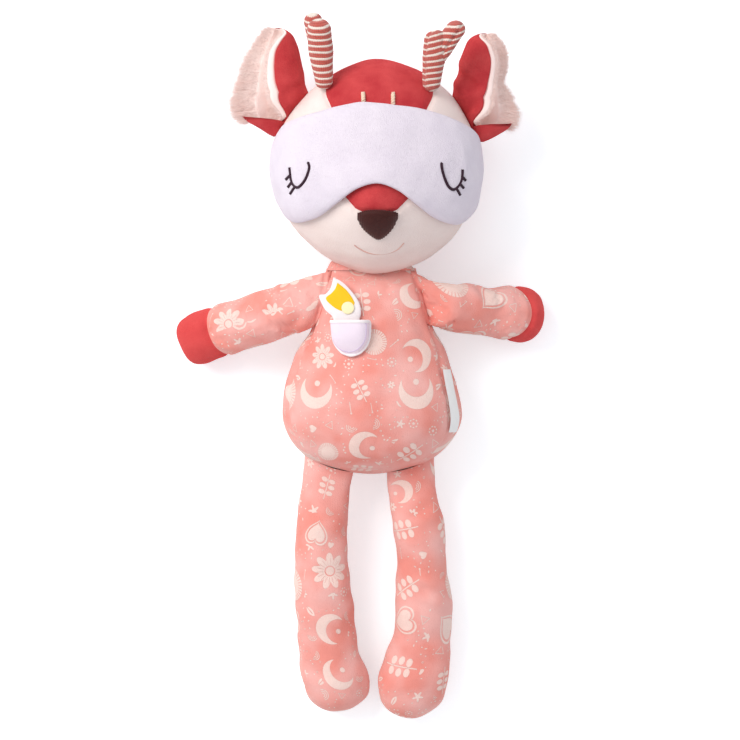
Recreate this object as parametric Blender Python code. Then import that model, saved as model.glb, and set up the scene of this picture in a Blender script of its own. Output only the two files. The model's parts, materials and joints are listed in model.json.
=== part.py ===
"""Stuffed plush fawn doll that lies on its back.

+Z points up out of the doll's face and +Y towards its head. The origin lies on the flat of the back,
on the surface that the doll rests on. Every fabric cover is an open shell round its own stuffing.
"""
import math

import bpy
import bmesh
from mathutils import Matrix, Vector
from mathutils.geometry import tessellate_polygon

# Room between pieces
CLEARANCE = 0.0003
FACET_ROOM = 0.0005
FILL_ROOM = CLEARANCE + FACET_ROOM

# Cloth
FABRIC = 0.0016
REST_FLAT = 0.0005

# Body
TORSO_LENGTH = 0.1068
TORSO_BELOW_ORIGIN = 0.049
TORSO_WIDTH = 0.0934
TORSO_DEPTH = 0.060
NECK_WIDTH = 0.046
NECK_DEPTH = 0.028
NECK_SET_BACK = 0.0025
NECK_REACH_ROOM = 0.0022
NECK_THREAD = 0.0012

# Head
HEAD_WIDTH = 0.105
HEAD_HEIGHT = 0.1104
HEAD_DEPTH = 0.078
CHIN_ABOVE_ORIGIN = 0.0552
HEAD_OFFSET = 0.0033
MUZZLE_RISE = 0.009
MUZZLE_SPREAD = 0.018
MUZZLE_ABOVE_CHIN = 0.0282
NOSE_WIDTH = 0.0212
NOSE_HEIGHT = 0.0150
NOSE_RISE = 0.0030
NOSE_ABOVE_CHIN = 0.0262
SMILE_WIDTH = 0.0258
SMILE_DROP = 0.0050
SMILE_ABOVE_CHIN = 0.0144
THREAD_WIDTH = 0.0013
THREAD_RISE = 0.0008
CROWN_STITCH_LENGTH = 0.0050
CROWN_STITCH_SPACING = 0.0155
CROWN_STITCH_ABOVE_CENTRE = 0.0390
EYE_SPACING = 0.056
EYE_WIDTH = 0.016
EYE_DROP = 0.006
EYE_BELOW_CENTRE = 0.004

# Places of the face on its height, from the head's middle
MUZZLE_BELOW_CENTRE = HEAD_HEIGHT / 2 - MUZZLE_ABOVE_CHIN
NOSE_BELOW_CENTRE = HEAD_HEIGHT / 2 - NOSE_ABOVE_CHIN
SMILE_BELOW_CENTRE = HEAD_HEIGHT / 2 - SMILE_ABOVE_CHIN

# Sleep mask and its strap
MASK_LINING = 0.0010
MASK_PAD = 0.0026
MASK_EYE_WIDTH = 0.0175
MASK_EYE_DROP = 0.0130
MASK_LASH = 0.0042
STRAP_WIDTH = 0.0060
STRAP_THICKNESS = 0.0010

# Ears
EAR_LENGTH = 0.0515
EAR_WIDTH = 0.032
EAR_DEPTH = 0.021
EAR_BASE_ABOVE_CENTRE = 0.0185
EAR_LINING = 0.0030
EAR_ROOM = 0.0007

# Antlers
ANTLER_LENGTH = 0.0320
ANTLER_LEAN = 0.0030
ANTLER_RADIUS = 0.0054
ANTLER_BASE_RADIUS = 0.0044
TINE_LENGTH = 0.0370
TINE_REACH = 0.0155
TINE_RADIUS = 0.0048
ANTLER_SPACING = 0.0560
ANTLER_ABOVE_CENTRE = 0.0385
ANTLER_WALL = 0.0013

# Arms and legs
LIMB_ROOT = 0.0022
ARM_ROOT_WIDTH = 0.0260
ARM_WIDTH = 0.0276
ARM_DEPTH = 0.0230
LEFT_ARM_REACH = 0.080
RIGHT_ARM_REACH = 0.068
HAND_SEAM_BULGE = 0.0060
SHOULDER_ABOVE_ORIGIN = 0.0425
LEG_LENGTH = 0.1230
LEG_WIDTH = 0.0354
LEG_DEPTH = 0.0260
LEG_SPACING = 0.0440
LEG_ROOT_WIDTH = 0.0246
HIP_HEIGHT = 0.0230

# Pocket, keepsake and label
POCKET_WIDTH = 0.0206
POCKET_HEIGHT = 0.0186
POCKET_LEFT = 0.0104
POCKET_ABOVE_ORIGIN = 0.0304
POCKET_PUFF = 0.0066
POCKET_CLOTH = 0.0012
BINDING_WIDTH = 0.0020
BINDING_THICKNESS = 0.0006
KEEPSAKE_LENGTH = 0.0355
KEEPSAKE_WIDTH = 0.0200
KEEPSAKE_DEPTH = 0.0032
KEEPSAKE_HIDDEN = 0.0120
KEEPSAKE_MOUTH_SHIFT = -0.0016
KEEPSAKE_TOP_PAD = 0.0008
KEEPSAKE_TRAVEL = 0.0080
LABEL_LENGTH = 0.0320
LABEL_WIDTH = 0.0120
LABEL_THICKNESS = 0.0006
LABEL_BELOW_ORIGIN = 0.0105

# Angles
HEAD_TILT = math.radians(-1.5)
NECK_TURN_LIMIT = math.radians(40)
NOD_FORWARD = math.radians(20)
NOD_BACK = math.radians(-20)
BODY_SEAM = math.radians(21.7)
LEFT_ARM_DROOP = math.radians(18.5)
RIGHT_ARM_DROOP = math.radians(9.4)
ANTLER_FORWARD = math.radians(14)
ANTLER_OUTWARD = math.radians(6)
LEFT_ANTLER_TWIST = math.radians(100)
MASK_EYE_LONGITUDE = math.radians(56)
MASK_EYE_LATITUDE = math.radians(2)
STRAP_START = math.radians(86)
STRAP_LOW = math.radians(-3)
STRAP_HIGH = math.radians(31)
KEEPSAKE_TILT = math.radians(15)
KEEPSAKE_SLOPE = math.radians(8.5)
HEAD_SEAM_SHARE = 0.12

# Outlines as shares of the sizes that they follow
# Torso rows: place down the length, half width, half depth, lift of the underside
TORSO_ROW_SHARES = (
    (0.073, 0.525, 0.500, 0.335),
    (0.154, 0.578, 0.600, 0.262),
    (0.275, 0.675, 0.780, 0.135),
    (0.406, 0.867, 0.933, 0.0),
    (0.561, 0.964, 1.0, 0.0),
    (0.662, 1.0, 1.0, 0.0),
    (0.734, 0.985, 0.985, 0.0),
    (0.807, 0.921, 0.935, 0.010),
    (0.869, 0.824, 0.850, 0.040),
    (0.913, 0.720, 0.735, 0.085),
    (0.962, 0.480, 0.500, 0.160),
)
TORSO_TAIL_SHARE = 0.360
WAD_RING_SHARES = (0, 0.55, 1)
# Crown gusset rows: turn from the crown towards the nose in degrees, half width
GUSSET_ROW_SHARES = (
    (8, 0.57), (24, 0.57), (43, 0.54), (58.5, 0.462), (81, 0.393), (97.5, 0.374), (108.5, 0.359),
    (117, 0.206),
)
GUSSET_SEAM_SHARE = 0.56
# Mask columns: longitude, top latitude, bottom latitude in degrees
MASK_COLUMNS = (
    (0, 36, -9.7), (11, 36, -13), (22, 35.2, -19.7), (36, 33.5, -28.5), (52, 29.5, -33), (70, 25, -34.5),
    (84, 17.5, -31), (95, 9, -21),
)
# Rounded triangle of the nose: across, up
NOSE_SHARES = (
    (-0.5, 0.30), (-0.38, 0.5), (0.0, 0.5), (0.38, 0.5), (0.5, 0.30), (0.43, 0.02), (0.22, -0.36),
    (0.0, -0.5), (-0.22, -0.36), (-0.43, 0.02),
)
# Rings of the nose's dome: scale of the outline, rise
NOSE_DOME_SHARES = ((0.5, 0), (1, 0), (1, 0.5), (0.84, 0.85), (0.45, 1))
# Mask pad: thickness at its ends, and how much it thins towards its upper and lower edges
MASK_END_SHARE = 0.35
MASK_EDGE_THIN_SHARE = 0.6
# Ear rows: height, middle beyond the root, half width, half depth
EAR_ROW_SHARES = (
    (0.0, 0.02, 0.46, 0.52), (0.17, 0.0, 0.76, 0.84), (0.34, 0.0, 1.0, 1.0), (0.53, 0.08, 0.80, 0.95),
    (0.70, 0.18, 0.74, 0.86), (0.84, 0.28, 0.63, 0.70), (0.94, 0.46, 0.40, 0.44),
)
EAR_TIP_SHARE = -0.08
# Antler: fork along the stem, where a tine has swelled and by how much, opening in the foot
FORK_SHARE = 0.42
TINE_SWELL_SHARE = 0.35
TINE_FULL_SHARE = 0.9
MOUTH_SHARE = 0.3
CAP_TURNS = (20, 55)
# Least inner depth of a pinched limb, and wall at a rounded end against the wall elsewhere
SLIT_SHARE = 0.3
POLE_WALL_SHARE = 1.4
# Turns of the rings that round off a limb's root, in degrees
ROOT_TURNS = (25, 60, 90)
# Arm rows: place along the reach, half width, half depth
ARM_ROW_SHARES = (
    (0.10, 0.99, 0.42), (0.22, 0.99, 0.74), (0.38, 1.0, 0.95), (0.56, 0.95, 1.0), (0.70, 1.0, 1.0),
)
WRIST_SHARE = 0.74
HAND_ROW_SHARES = ((0.79, 1.02, 1.04), (0.90, 0.98, 0.98), (0.965, 0.66, 0.70))
# Leg rows: place along the length, half width, half depth, drift of the middle
LEG_ROW_SHARES = (
    (0.07, 0.68, 0.50, 0.02), (0.163, 0.71, 0.84, 0.07), (0.356, 0.76, 0.93, 0.13),
    (0.566, 0.83, 0.98, 0.115), (0.746, 0.95, 1.0, 0.03), (0.88, 1.0, 1.0, -0.06),
    (0.96, 0.70, 0.74, -0.08),
)
LEG_TIP_DRIFT_SHARE = -0.085
# How far each of a leg's first rings follows the slant of the body's bottom seam
LEG_SLANT_SHARES = (1.0, 0.45, 0.15)
# Keepsake rings: place along the length, half width, half depth
KEEPSAKE_ROW_SHARES = (
    (0.03, 0.26, 0.40), (0.12, 0.42, 0.70), (0.30, 0.56, 0.90), (0.48, 0.88, 1.0), (0.62, 1.0, 1.0),
    (0.78, 0.78, 0.95), (0.92, 0.42, 0.65),
)
# Keepsake top: half width, middle and half length
KEEPSAKE_TOP_SHARES = (0.34, 0.62, 0.22)
# Pocket rows: place down the height, half width, puff
POCKET_ROW_SHARES = (
    (0.0, 1.0, 1.0), (0.25, 1.0, 0.96), (0.50, 0.94, 0.80), (0.75, 0.66, 0.50), (0.92, 0.30, 0.18),
)

FRAMES = {}


def srgb(red, green, blue):
    """Linear colour of a screen colour that is given in 255ths."""
    return tuple((step / 255) ** 2.2 for step in (red, green, blue)) + (1.0,)


CLOTH_ROUGHNESS = 0.95
CORAL = srgb(240, 158, 146)
RED = srgb(205, 66, 76)
CREAM = srgb(243, 227, 219)
LAVENDER = srgb(236, 230, 244)
BROWN = srgb(74, 32, 31)
KNIT = srgb(176, 70, 66)
FLUFF = srgb(246, 220, 216)
FILL = srgb(245, 245, 242)
YELLOW = srgb(248, 208, 60)
WHITE = srgb(246, 244, 242)
ROSE = srgb(170, 120, 116)


def clear_scene():
    """Remove every object that the file holds."""
    for item in list(bpy.data.objects):
        bpy.data.objects.remove(item, do_unlink=True)


def cloth(name, colour):
    """Material of one cloth piece."""
    material = bpy.data.materials.new(name)
    material.use_nodes = True
    shader = material.node_tree.nodes["Principled BSDF"]
    shader.inputs["Base Color"].default_value = colour
    shader.inputs["Roughness"].default_value = CLOTH_ROUGHNESS
    shader.inputs["Metallic"].default_value = 0.0
    material.diffuse_color = colour
    return material


def joint_frame(name, matrix, parent=None):
    """Empty on a joint's axis, which carries the pieces that move there."""
    empty = bpy.data.objects.new(name, None)
    bpy.context.collection.objects.link(empty)
    empty.empty_display_size = CLEARANCE
    FRAMES[name] = matrix
    place(empty, matrix, parent)
    return empty


def place(item, matrix, parent):
    """Parent an object and give it the world place that a matrix says."""
    if parent is None:
        item.matrix_basis = matrix
        return
    item.parent = parent
    item.matrix_basis = FRAMES[parent.name].inverted() @ matrix


def finish(name, mesh, matrix, parent, colour):
    """Turn a bmesh into a named object with its own material."""
    bmesh.ops.recalc_face_normals(mesh, faces=mesh.faces)
    data = bpy.data.meshes.new(name)
    mesh.to_mesh(data)
    mesh.free()
    data.shade_smooth()
    data.set_sharp_from_angle(angle=math.radians(50))
    data.materials.append(cloth(name, colour))
    item = bpy.data.objects.new(name, data)
    bpy.context.collection.objects.link(item)
    place(item, matrix, parent)
    return item


def pick(row, index):
    """Corner of a row, where a row of one point stands for all of them."""
    return row[0] if len(row) == 1 else row[index % len(row)]


def bridge(mesh, first, second, closed):
    """Faces between two rows of corners; a row of one point gives a fan."""
    count = max(len(first), len(second))
    for index in range(count if closed else count - 1):
        corners = [pick(first, index), pick(first, index + 1), pick(second, index + 1), pick(second, index)]
        kept = [corner for place_, corner in enumerate(corners) if corner is not corners[place_ - 1]]
        if len(kept) > 2:
            mesh.faces.new(kept)


def add_rows(mesh, rows):
    """Corners of a mesh for rows of points."""
    return [[mesh.verts.new(point) for point in row] for row in rows]


def shell(name, outer, inner, closed, matrix, parent, colour):
    """Cloth between two grids of points, with rims along its open edges."""
    mesh = bmesh.new()
    skins = [add_rows(mesh, outer), add_rows(mesh, inner)]
    for skin in skins:
        for first, second in zip(skin, skin[1:]):
            bridge(mesh, first, second, closed)
    for end in (0, -1):
        if len(outer[end]) > 1:
            bridge(mesh, skins[0][end], skins[1][end], closed)
    if not closed:
        for side in (0, -1):
            edges = [[row[0] if len(row) == 1 else row[side] for row in skin] for skin in skins]
            bridge(mesh, edges[0], edges[1], False)
    return finish(name, mesh, matrix, parent, colour)


def solid(name, rows, matrix, parent, colour):
    """Closed body through rings of points, capped at its ends."""
    mesh = bmesh.new()
    rings = add_rows(mesh, rows)
    for first, second in zip(rings, rings[1:]):
        bridge(mesh, first, second, True)
    for end in (rings[0], rings[-1]):
        if len(end) > 1:
            mesh.faces.new(end)
    return finish(name, mesh, matrix, parent, colour)


def patch(name, outline, surface, low, high, matrix, parent, colour):
    """Stitched patch of any outline, which lies on a surface between two lifts."""
    mesh = bmesh.new()
    lower = [mesh.verts.new(surface(x, y, low)) for x, y in outline]
    upper = [mesh.verts.new(surface(x, y, high)) for x, y in outline]
    for corners in tessellate_polygon([[Vector((x, y, 0)) for x, y in outline]]):
        mesh.faces.new([lower[index] for index in corners])
        mesh.faces.new([upper[index] for index in corners])
    bridge(mesh, lower, upper, True)
    return finish(name, mesh, matrix, parent, colour)


def ribbon(name, points, width, surface, low, high, matrix, parent, colour):
    """Line of stitching along points that lie on a surface."""
    outline_left = []
    outline_right = []
    for index, (x, y) in enumerate(points):
        ahead = points[min(index + 1, len(points) - 1)]
        behind = points[max(index - 1, 0)]
        run = Vector((ahead[0] - behind[0], ahead[1] - behind[1])).normalized() * (width / 2)
        outline_left.append((x - run.y, y + run.x))
        outline_right.append((x + run.y, y - run.x))
    outline = outline_left + outline_right[::-1]
    return patch(name, outline, surface, low, high, matrix, parent, colour)


def steps(count):
    """Even shares from 0 to 1."""
    return [index / count for index in range(count + 1)]


def mix(first, second, share):
    """Value a share of the way between two."""
    return first + (second - first) * share


# Head


def head_matrix():
    """Place of the head's middle."""
    middle = Vector((HEAD_OFFSET, CHIN_ABOVE_ORIGIN + HEAD_HEIGHT / 2, HEAD_DEPTH / 2 - REST_FLAT))
    return Matrix.Translation(middle) @ Matrix.Rotation(HEAD_TILT, 4, "Z")


def neck_pivot():
    """Middle of the neck's turning, from the roundness of the head's underside, in the head's frame."""
    roundness = (HEAD_DEPTH / 2) ** 2 / (HEAD_HEIGHT / 2)
    return Vector((0, roundness - HEAD_HEIGHT / 2, 0))


def head_point(direction, lift):
    """Point of the head's skin moved out by lift, in the head's frame."""
    x = (HEAD_WIDTH / 2 + lift) * direction.x
    y = (HEAD_HEIGHT / 2 + lift) * direction.y
    z = (HEAD_DEPTH / 2 + lift) * direction.z
    if direction.z > 0:
        off = (x / MUZZLE_SPREAD) ** 2 + ((y + MUZZLE_BELOW_CENTRE) / MUZZLE_SPREAD) ** 2
        z += MUZZLE_RISE * direction.z * math.exp(-off)
    return Vector((x, y, max(z, REST_FLAT - HEAD_DEPTH / 2)))


def on_face(x, y, lift):
    """Point in front of the head's middle plane, over the place x, y."""
    across = x / (HEAD_WIDTH / 2)
    up = y / (HEAD_HEIGHT / 2)
    return head_point(Vector((across, up, math.sqrt(max(0, 1 - across**2 - up**2)))), lift)


def round_head(longitude, latitude):
    """Direction from the head's middle; longitude 0 is straight out of the face."""
    flat = math.cos(latitude)
    return Vector((math.sin(longitude) * flat, math.sin(latitude), math.cos(longitude) * flat))


def gusset_profile():
    """Turns and half widths down the crown gusset, with one row more between each two of its table."""
    profile = []
    for near, far in zip(GUSSET_ROW_SHARES, GUSSET_ROW_SHARES[1:]):
        profile += [near, tuple(mix(a, b, 1 / 2) for a, b in zip(near, far))]
    return profile + [GUSSET_ROW_SHARES[-1]]


def gusset_rows(widening):
    """Directions of the crown gusset's rows, from the back seam to the nose."""
    half = GUSSET_SEAM_SHARE + widening
    level = -HEAD_SEAM_SHARE
    rows = [[
        Vector((mix(-half, half, share), math.sqrt(1 - mix(-half, half, share) ** 2 - level**2), level))
        for share in steps(6)
    ]]
    for turn, half_share in gusset_profile():
        angle = math.radians(turn)
        last = turn == GUSSET_ROW_SHARES[-1][0]
        angle += 2 * widening if last else 0
        half = half_share + widening
        rows.append([])
        for share in steps(6):
            across = mix(-half, half, share)
            flat = math.sqrt(1 - across**2)
            rows[-1].append(Vector((across, math.cos(angle) * flat, math.sin(angle) * flat)))
    return rows


def face_rows():
    """Directions of the face panel, from the gusset's edge out to the side seam, round the chin."""
    rows = gusset_rows(CLEARANCE / (HEAD_WIDTH / 2))
    inner = [row[0] for row in rows] + rows[-1][1:-1] + [row[-1] for row in reversed(rows)]
    level = -HEAD_SEAM_SHARE
    radius = math.sqrt(1 - level**2)
    start = math.asin(inner[0].x / radius)
    grid = []
    for index, near in enumerate(inner):
        angle = mix(start, -2 * math.pi - start, index / (len(inner) - 1))
        far = Vector((math.sin(angle) * radius, math.cos(angle) * radius, level))
        grid.append([near.lerp(far, share).normalized() for share in steps(8)])
        grid[-1][-1] = far
    return grid


def make_head_covers(matrix, parent):
    """Crown gusset, face panel and back panel round the head's stuffing."""
    for name, rows, colour in (("crown_gusset", gusset_rows(0), RED), ("face_panel", face_rows(), CREAM)):
        outer = [[head_point(direction, 0) for direction in row] for row in rows]
        inner = [[head_point(direction, -FABRIC) for direction in row] for row in rows]
        shell(name, outer, inner, False, matrix, parent, colour)
    first_turn = math.acos(HEAD_SEAM_SHARE + CLEARANCE / (HEAD_DEPTH / 2))
    last_turn = math.acos(1 - REST_FLAT / (HEAD_DEPTH / 2))
    rows = []
    for share in steps(5):
        turn = mix(first_turn, last_turn, share)
        rows.append([
            Vector((math.sin(turn) * math.cos(angle), math.sin(turn) * math.sin(angle), -math.cos(turn)))
            for angle in ring_angles(24)
        ])
    rows.append([Vector((0, 0, -1))])
    outer = [[head_point(direction, 0) for direction in row] for row in rows]
    inner = [[head_point(direction, -FABRIC) for direction in row] for row in rows]
    shell("head_back_panel", outer, inner, True, matrix, parent, RED)


def ring_angles(count):
    """Even angles round a ring."""
    return [math.tau * index / count for index in range(count)]


def make_head_stuffing(matrix, parent):
    """Stuffing that fills the head's covers."""
    rows = []
    for share in steps(14):
        latitude = mix(-math.pi / 2, math.pi / 2, share)
        count = 1 if share in (0, 1) else 28
        inset = FABRIC + FILL_ROOM + CLEARANCE
        ring = [round_head(longitude, latitude) for longitude in ring_angles(count)]
        rows.append([head_point(direction, -inset) for direction in ring])
    solid("head_stuffing", rows, matrix, parent, FILL)


def make_nose(matrix, parent):
    """Padded embroidered nose, a rounded triangle."""
    low = FILL_ROOM
    rows = [[on_face(0, -NOSE_BELOW_CENTRE, low)]]
    for scale, rise in NOSE_DOME_SHARES:
        rows.append([])
        for across, up in NOSE_SHARES:
            y = up * NOSE_HEIGHT * scale - NOSE_BELOW_CENTRE
            rows[-1].append(on_face(across * NOSE_WIDTH * scale, y, low + NOSE_RISE * rise))
    rows.append([on_face(0, -NOSE_BELOW_CENTRE, low + NOSE_RISE)])
    solid("nose", rows, matrix, parent, BROWN)


def make_face_stitches(matrix, parent):
    """Smile, crown stitches and the closed eyes under the mask."""
    low = FILL_ROOM
    high = low + THREAD_RISE
    smile = []
    for share in steps(8):
        across = mix(-SMILE_WIDTH / 2, SMILE_WIDTH / 2, share)
        bend = 1 - (across / (SMILE_WIDTH / 2)) ** 2
        smile.append((across, -SMILE_BELOW_CENTRE - SMILE_DROP * bend))
    ribbon("mouth_stitch", smile, THREAD_WIDTH, on_face, low, high, matrix, parent, ROSE)
    for side, name in ((-1, "left"), (1, "right")):
        x = side * CROWN_STITCH_SPACING / 2
        ends = (CROWN_STITCH_ABOVE_CENTRE - CROWN_STITCH_LENGTH, CROWN_STITCH_ABOVE_CENTRE)
        points = [(x, mix(ends[0], ends[1], share)) for share in steps(2)]
        ribbon(f"crown_stitch_{name}", points, THREAD_WIDTH, on_face, low, high, matrix, parent, CREAM)
        eye = []
        for share in steps(8):
            across = mix(-EYE_WIDTH / 2, EYE_WIDTH / 2, share)
            bend = 1 - (across / (EYE_WIDTH / 2)) ** 2
            eye.append((side * EYE_SPACING / 2 + across, -EYE_BELOW_CENTRE - EYE_DROP * bend))
        top = CLEARANCE + THREAD_RISE
        ribbon(f"eye_{name}", eye, THREAD_WIDTH, on_face, CLEARANCE, top, matrix, parent, BROWN)


# Mask


MASK_LIFT = CLEARANCE + THREAD_RISE + FILL_ROOM
MASK_TOP_LIFT = MASK_LIFT + MASK_LINING + CLEARANCE


def mask_columns():
    """Longitude and latitudes of the mask's columns from its left end to its right end."""
    left = [(-longitude, top, bottom) for longitude, top, bottom in reversed(MASK_COLUMNS[1:])]
    return left + list(MASK_COLUMNS)


def mask_rows(lift, pad):
    """Points of the mask, with a pad that thins towards its edges."""
    columns = mask_columns()
    rows = []
    for index, (longitude, top, bottom) in enumerate(columns):
        end = MASK_END_SHARE if index in (0, len(columns) - 1) else 1
        rows.append([])
        for share in steps(8):
            swell = (1 - MASK_EDGE_THIN_SHARE * (2 * share - 1) ** 6) * end
            direction = round_head(math.radians(longitude), math.radians(mix(top, bottom, share)))
            rows[-1].append(head_point(direction, lift + pad * swell))
    return rows


def mask_hinge_point():
    """Middle of the mask's top edge, where it is tacked to the crown, in the head's frame."""
    return head_point(round_head(0, math.radians(MASK_COLUMNS[0][1])), MASK_LIFT)


def on_mask(longitude, latitude, lift):
    """Point over the mask's padded front."""
    return head_point(round_head(longitude, latitude), MASK_TOP_LIFT + MASK_PAD + lift)


def mask_eye_outline(side):
    """Outline of a closed eye with three lashes, as longitudes and latitudes."""
    middle = side * MASK_EYE_LONGITUDE
    half_width = MASK_EYE_WIDTH / 2
    inner = []
    outer = []
    for index, share in enumerate(steps(14)):
        angle = mix(math.pi, math.tau, share)
        run = Vector((math.cos(angle) * half_width * side, math.sin(angle) * MASK_EYE_DROP))
        away = Vector((math.cos(angle) * MASK_EYE_DROP * side, math.sin(angle) * half_width)).normalized()
        reach = MASK_LASH if index in (8, 10, 12) else THREAD_WIDTH / 2
        inner.append(run - away * (THREAD_WIDTH / 2))
        outer.append(run + away * reach)
    points = inner + outer[::-1]
    outline = []
    for point in points:
        longitude = middle + point.x / (HEAD_DEPTH / 2)
        outline.append((longitude, MASK_EYE_LATITUDE + point.y / (HEAD_HEIGHT / 2)))
    return outline


def make_mask(matrix, parent):
    """Padded sleep mask: lining, front and its embroidered eyes."""
    lining = [mask_rows(MASK_LIFT, 0), mask_rows(MASK_LIFT + MASK_LINING, 0)]
    shell("mask_lining", lining[1], lining[0], False, matrix, parent, LAVENDER)
    front = [mask_rows(MASK_TOP_LIFT, 0), mask_rows(MASK_TOP_LIFT, MASK_PAD)]
    shell("mask_front", front[1], front[0], False, matrix, parent, LAVENDER)
    for side, name in ((-1, "left"), (1, "right")):
        patch(
            f"mask_lashes_{name}", mask_eye_outline(side), on_mask, CLEARANCE, CLEARANCE + THREAD_RISE,
            matrix, parent, BROWN,
        )


def make_strap(matrix, parent):
    """Elastic strap round the back of the head, with its ends under the mask."""
    low = CLEARANCE
    rows = {low: [], low + STRAP_THICKNESS: []}
    half = STRAP_WIDTH / HEAD_HEIGHT
    for share in steps(24):
        longitude = mix(STRAP_START, math.tau - STRAP_START, share)
        climb = math.sin(math.pi * share)
        latitude = mix(STRAP_LOW, STRAP_HIGH, climb)
        for lift, grid in rows.items():
            grid.append([
                head_point(round_head(longitude, latitude + edge * half), lift) for edge in (1, 0, -1)
            ])
    inner, outer = rows.values()
    shell("mask_strap", outer, inner, False, matrix, parent, LAVENDER)


# Ears


def head_outline(y):
    """Half width of the head, seen from the front, at a height in its frame."""
    return HEAD_WIDTH / 2 * math.sqrt(max(0, 1 - (y / (HEAD_HEIGHT / 2)) ** 2))


def ear_ring(share, beyond, half_width, half_depth, inset, side):
    """One level of the ear's cup: spine towards the head, open edge outwards."""
    y = EAR_BASE_ABOVE_CENTRE + share * EAR_LENGTH
    root_y = EAR_BASE_ABOVE_CENTRE + min(share, EAR_ROW_SHARES[2][0]) * EAR_LENGTH
    half_x = EAR_WIDTH / 2 * half_width - inset
    half_z = EAR_DEPTH / 2 * half_depth - inset
    x = head_outline(root_y) + EAR_ROOM + EAR_WIDTH / 2 * (half_width + beyond)
    ring = []
    for part in steps(14):
        angle = math.radians(mix(98, -160, part))
        ring.append(Vector((side * (x - math.cos(angle) * half_x), y, math.sin(angle) * half_z)))
    return ring


def ear_rows(inset, side):
    """Levels of an ear's cup from its base to its tip."""
    rows = [ear_ring(*row, inset, side) for row in EAR_ROW_SHARES]
    root_y = EAR_BASE_ABOVE_CENTRE + EAR_ROW_SHARES[2][0] * EAR_LENGTH
    x = head_outline(root_y) + EAR_ROOM + EAR_WIDTH / 2 * (1 + EAR_TIP_SHARE)
    rows.append([Vector((side * x, EAR_BASE_ABOVE_CENTRE + EAR_LENGTH - inset, 0))])
    return rows


def ear_hinge(side):
    """Two ends of the seam that an ear bends on, in the head's frame."""
    ends = []
    for share, _, _, _ in (EAR_ROW_SHARES[0], EAR_ROW_SHARES[2]):
        y = EAR_BASE_ABOVE_CENTRE + share * EAR_LENGTH
        ends.append(Vector((side * (head_outline(y) + EAR_ROOM + FABRIC), y, 0)))
    return ends


def make_ear(name, side, matrix, parent):
    """Cupped velour ear with its fluffy lining."""
    shell(f"ear_outer_{name}", ear_rows(0, side), ear_rows(FABRIC, side), False, matrix, parent, RED)
    near = FABRIC + CLEARANCE
    lining = [ear_rows(near, side)[:-1], ear_rows(near + EAR_LINING, side)[:-1]]
    shell(f"ear_lining_{name}", lining[0], lining[1], False, matrix, parent, FLUFF)


# Antlers


def tine_profile(length, radius, base_radius):
    """Place along a round-ended tine, share of its full roundness and radius there, from foot to tip."""
    foot = [(-math.cos(math.radians(turn)), math.sin(math.radians(turn))) for turn in CAP_TURNS]
    profile = [(run * base_radius, wide, base_radius) for run, wide in foot]
    profile.append((0, 1, base_radius))
    profile.append((length * TINE_SWELL_SHARE, 1, mix(base_radius, radius, TINE_FULL_SHARE)))
    profile.append((length - radius, 1, radius))
    profile += [(length - radius - run * radius, wide, radius) for run, wide in reversed(foot)]
    return profile


def antler_rows(start, end, radius, base_radius, inset):
    """Rings of a round-ended tine between two points, inside its skin by inset."""
    along = (end - start).normalized()
    side = Vector((0, 0, 1))
    across = along.cross(side)
    length = (end - start).length
    rows = []
    for run, wide, size in tine_profile(length, radius, base_radius):
        around = (size - inset) * wide
        inward = inset * (1 if run < length / 2 else -1) * (1 - wide)
        middle = start + along * (run + inward)
        rows.append([
            middle + across * (math.cos(angle) * around) + side * (math.sin(angle) * around)
            for angle in ring_angles(10)
        ])
    return rows


def tine_mesh(name, rows):
    """Closed helper body of one tine, for joining and cutting."""
    item = solid(name, rows, Matrix.Identity(4), None, KNIT)
    item.hide_render = True
    item.display_type = "WIRE"
    return item


def join(item, cutter, operation):
    """Boolean step that joins a helper body to an object or cuts it out."""
    step = item.modifiers.new(cutter.name, "BOOLEAN")
    step.operation = operation
    step.object = cutter
    step.solver = "EXACT"


def make_antler(name, matrix, parent):
    """Knitted two-tined antler: a cover open at its foot, round its stuffing."""
    foot = Vector((0, 0, 0))
    stem_end = Vector((ANTLER_LEAN, ANTLER_LENGTH, 0))
    tine_start = stem_end * FORK_SHARE
    tine_end = Vector((TINE_REACH, TINE_LENGTH, 0))
    bodies = {}
    for kind, inset in (("outer", 0), ("hollow", ANTLER_WALL), ("core", ANTLER_WALL + FILL_ROOM)):
        stem = antler_rows(foot, stem_end, ANTLER_RADIUS, ANTLER_BASE_RADIUS, inset)
        tine = antler_rows(tine_start, tine_end, TINE_RADIUS, TINE_RADIUS, inset)
        bodies[kind] = (stem, tine)
    cover = solid(f"antler_cover_{name}", bodies["outer"][0], matrix, parent, KNIT)
    core = solid(f"antler_stuffing_{name}", bodies["core"][0], matrix, parent, FILL)
    helpers = {}
    for kind, index in (("outer", 1), ("hollow", 0), ("hollow", 1), ("core", 1)):
        helpers[kind, index] = tine_mesh(f"antler_{name}_{kind}_{index}", bodies[kind][index])
        place(helpers[kind, index], matrix, parent)
    helpers["mouth"] = tine_mesh(f"antler_{name}_mouth", mouth_rows())
    place(helpers["mouth"], matrix, parent)
    join(cover, helpers["outer", 1], "UNION")
    join(cover, helpers["hollow", 0], "DIFFERENCE")
    join(cover, helpers["hollow", 1], "DIFFERENCE")
    join(cover, helpers["mouth"], "DIFFERENCE")
    join(core, helpers["core", 1], "UNION")


def mouth_rows():
    """Cutter for the small opening in an antler's foot."""
    radius = ANTLER_BASE_RADIUS * MOUTH_SHARE
    rows = []
    for y in (-2 * ANTLER_BASE_RADIUS, 0):
        rows.append([
            Vector((math.cos(angle) * radius, y, math.sin(angle) * radius)) for angle in ring_angles(10)
        ])
    return rows


# Body


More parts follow.
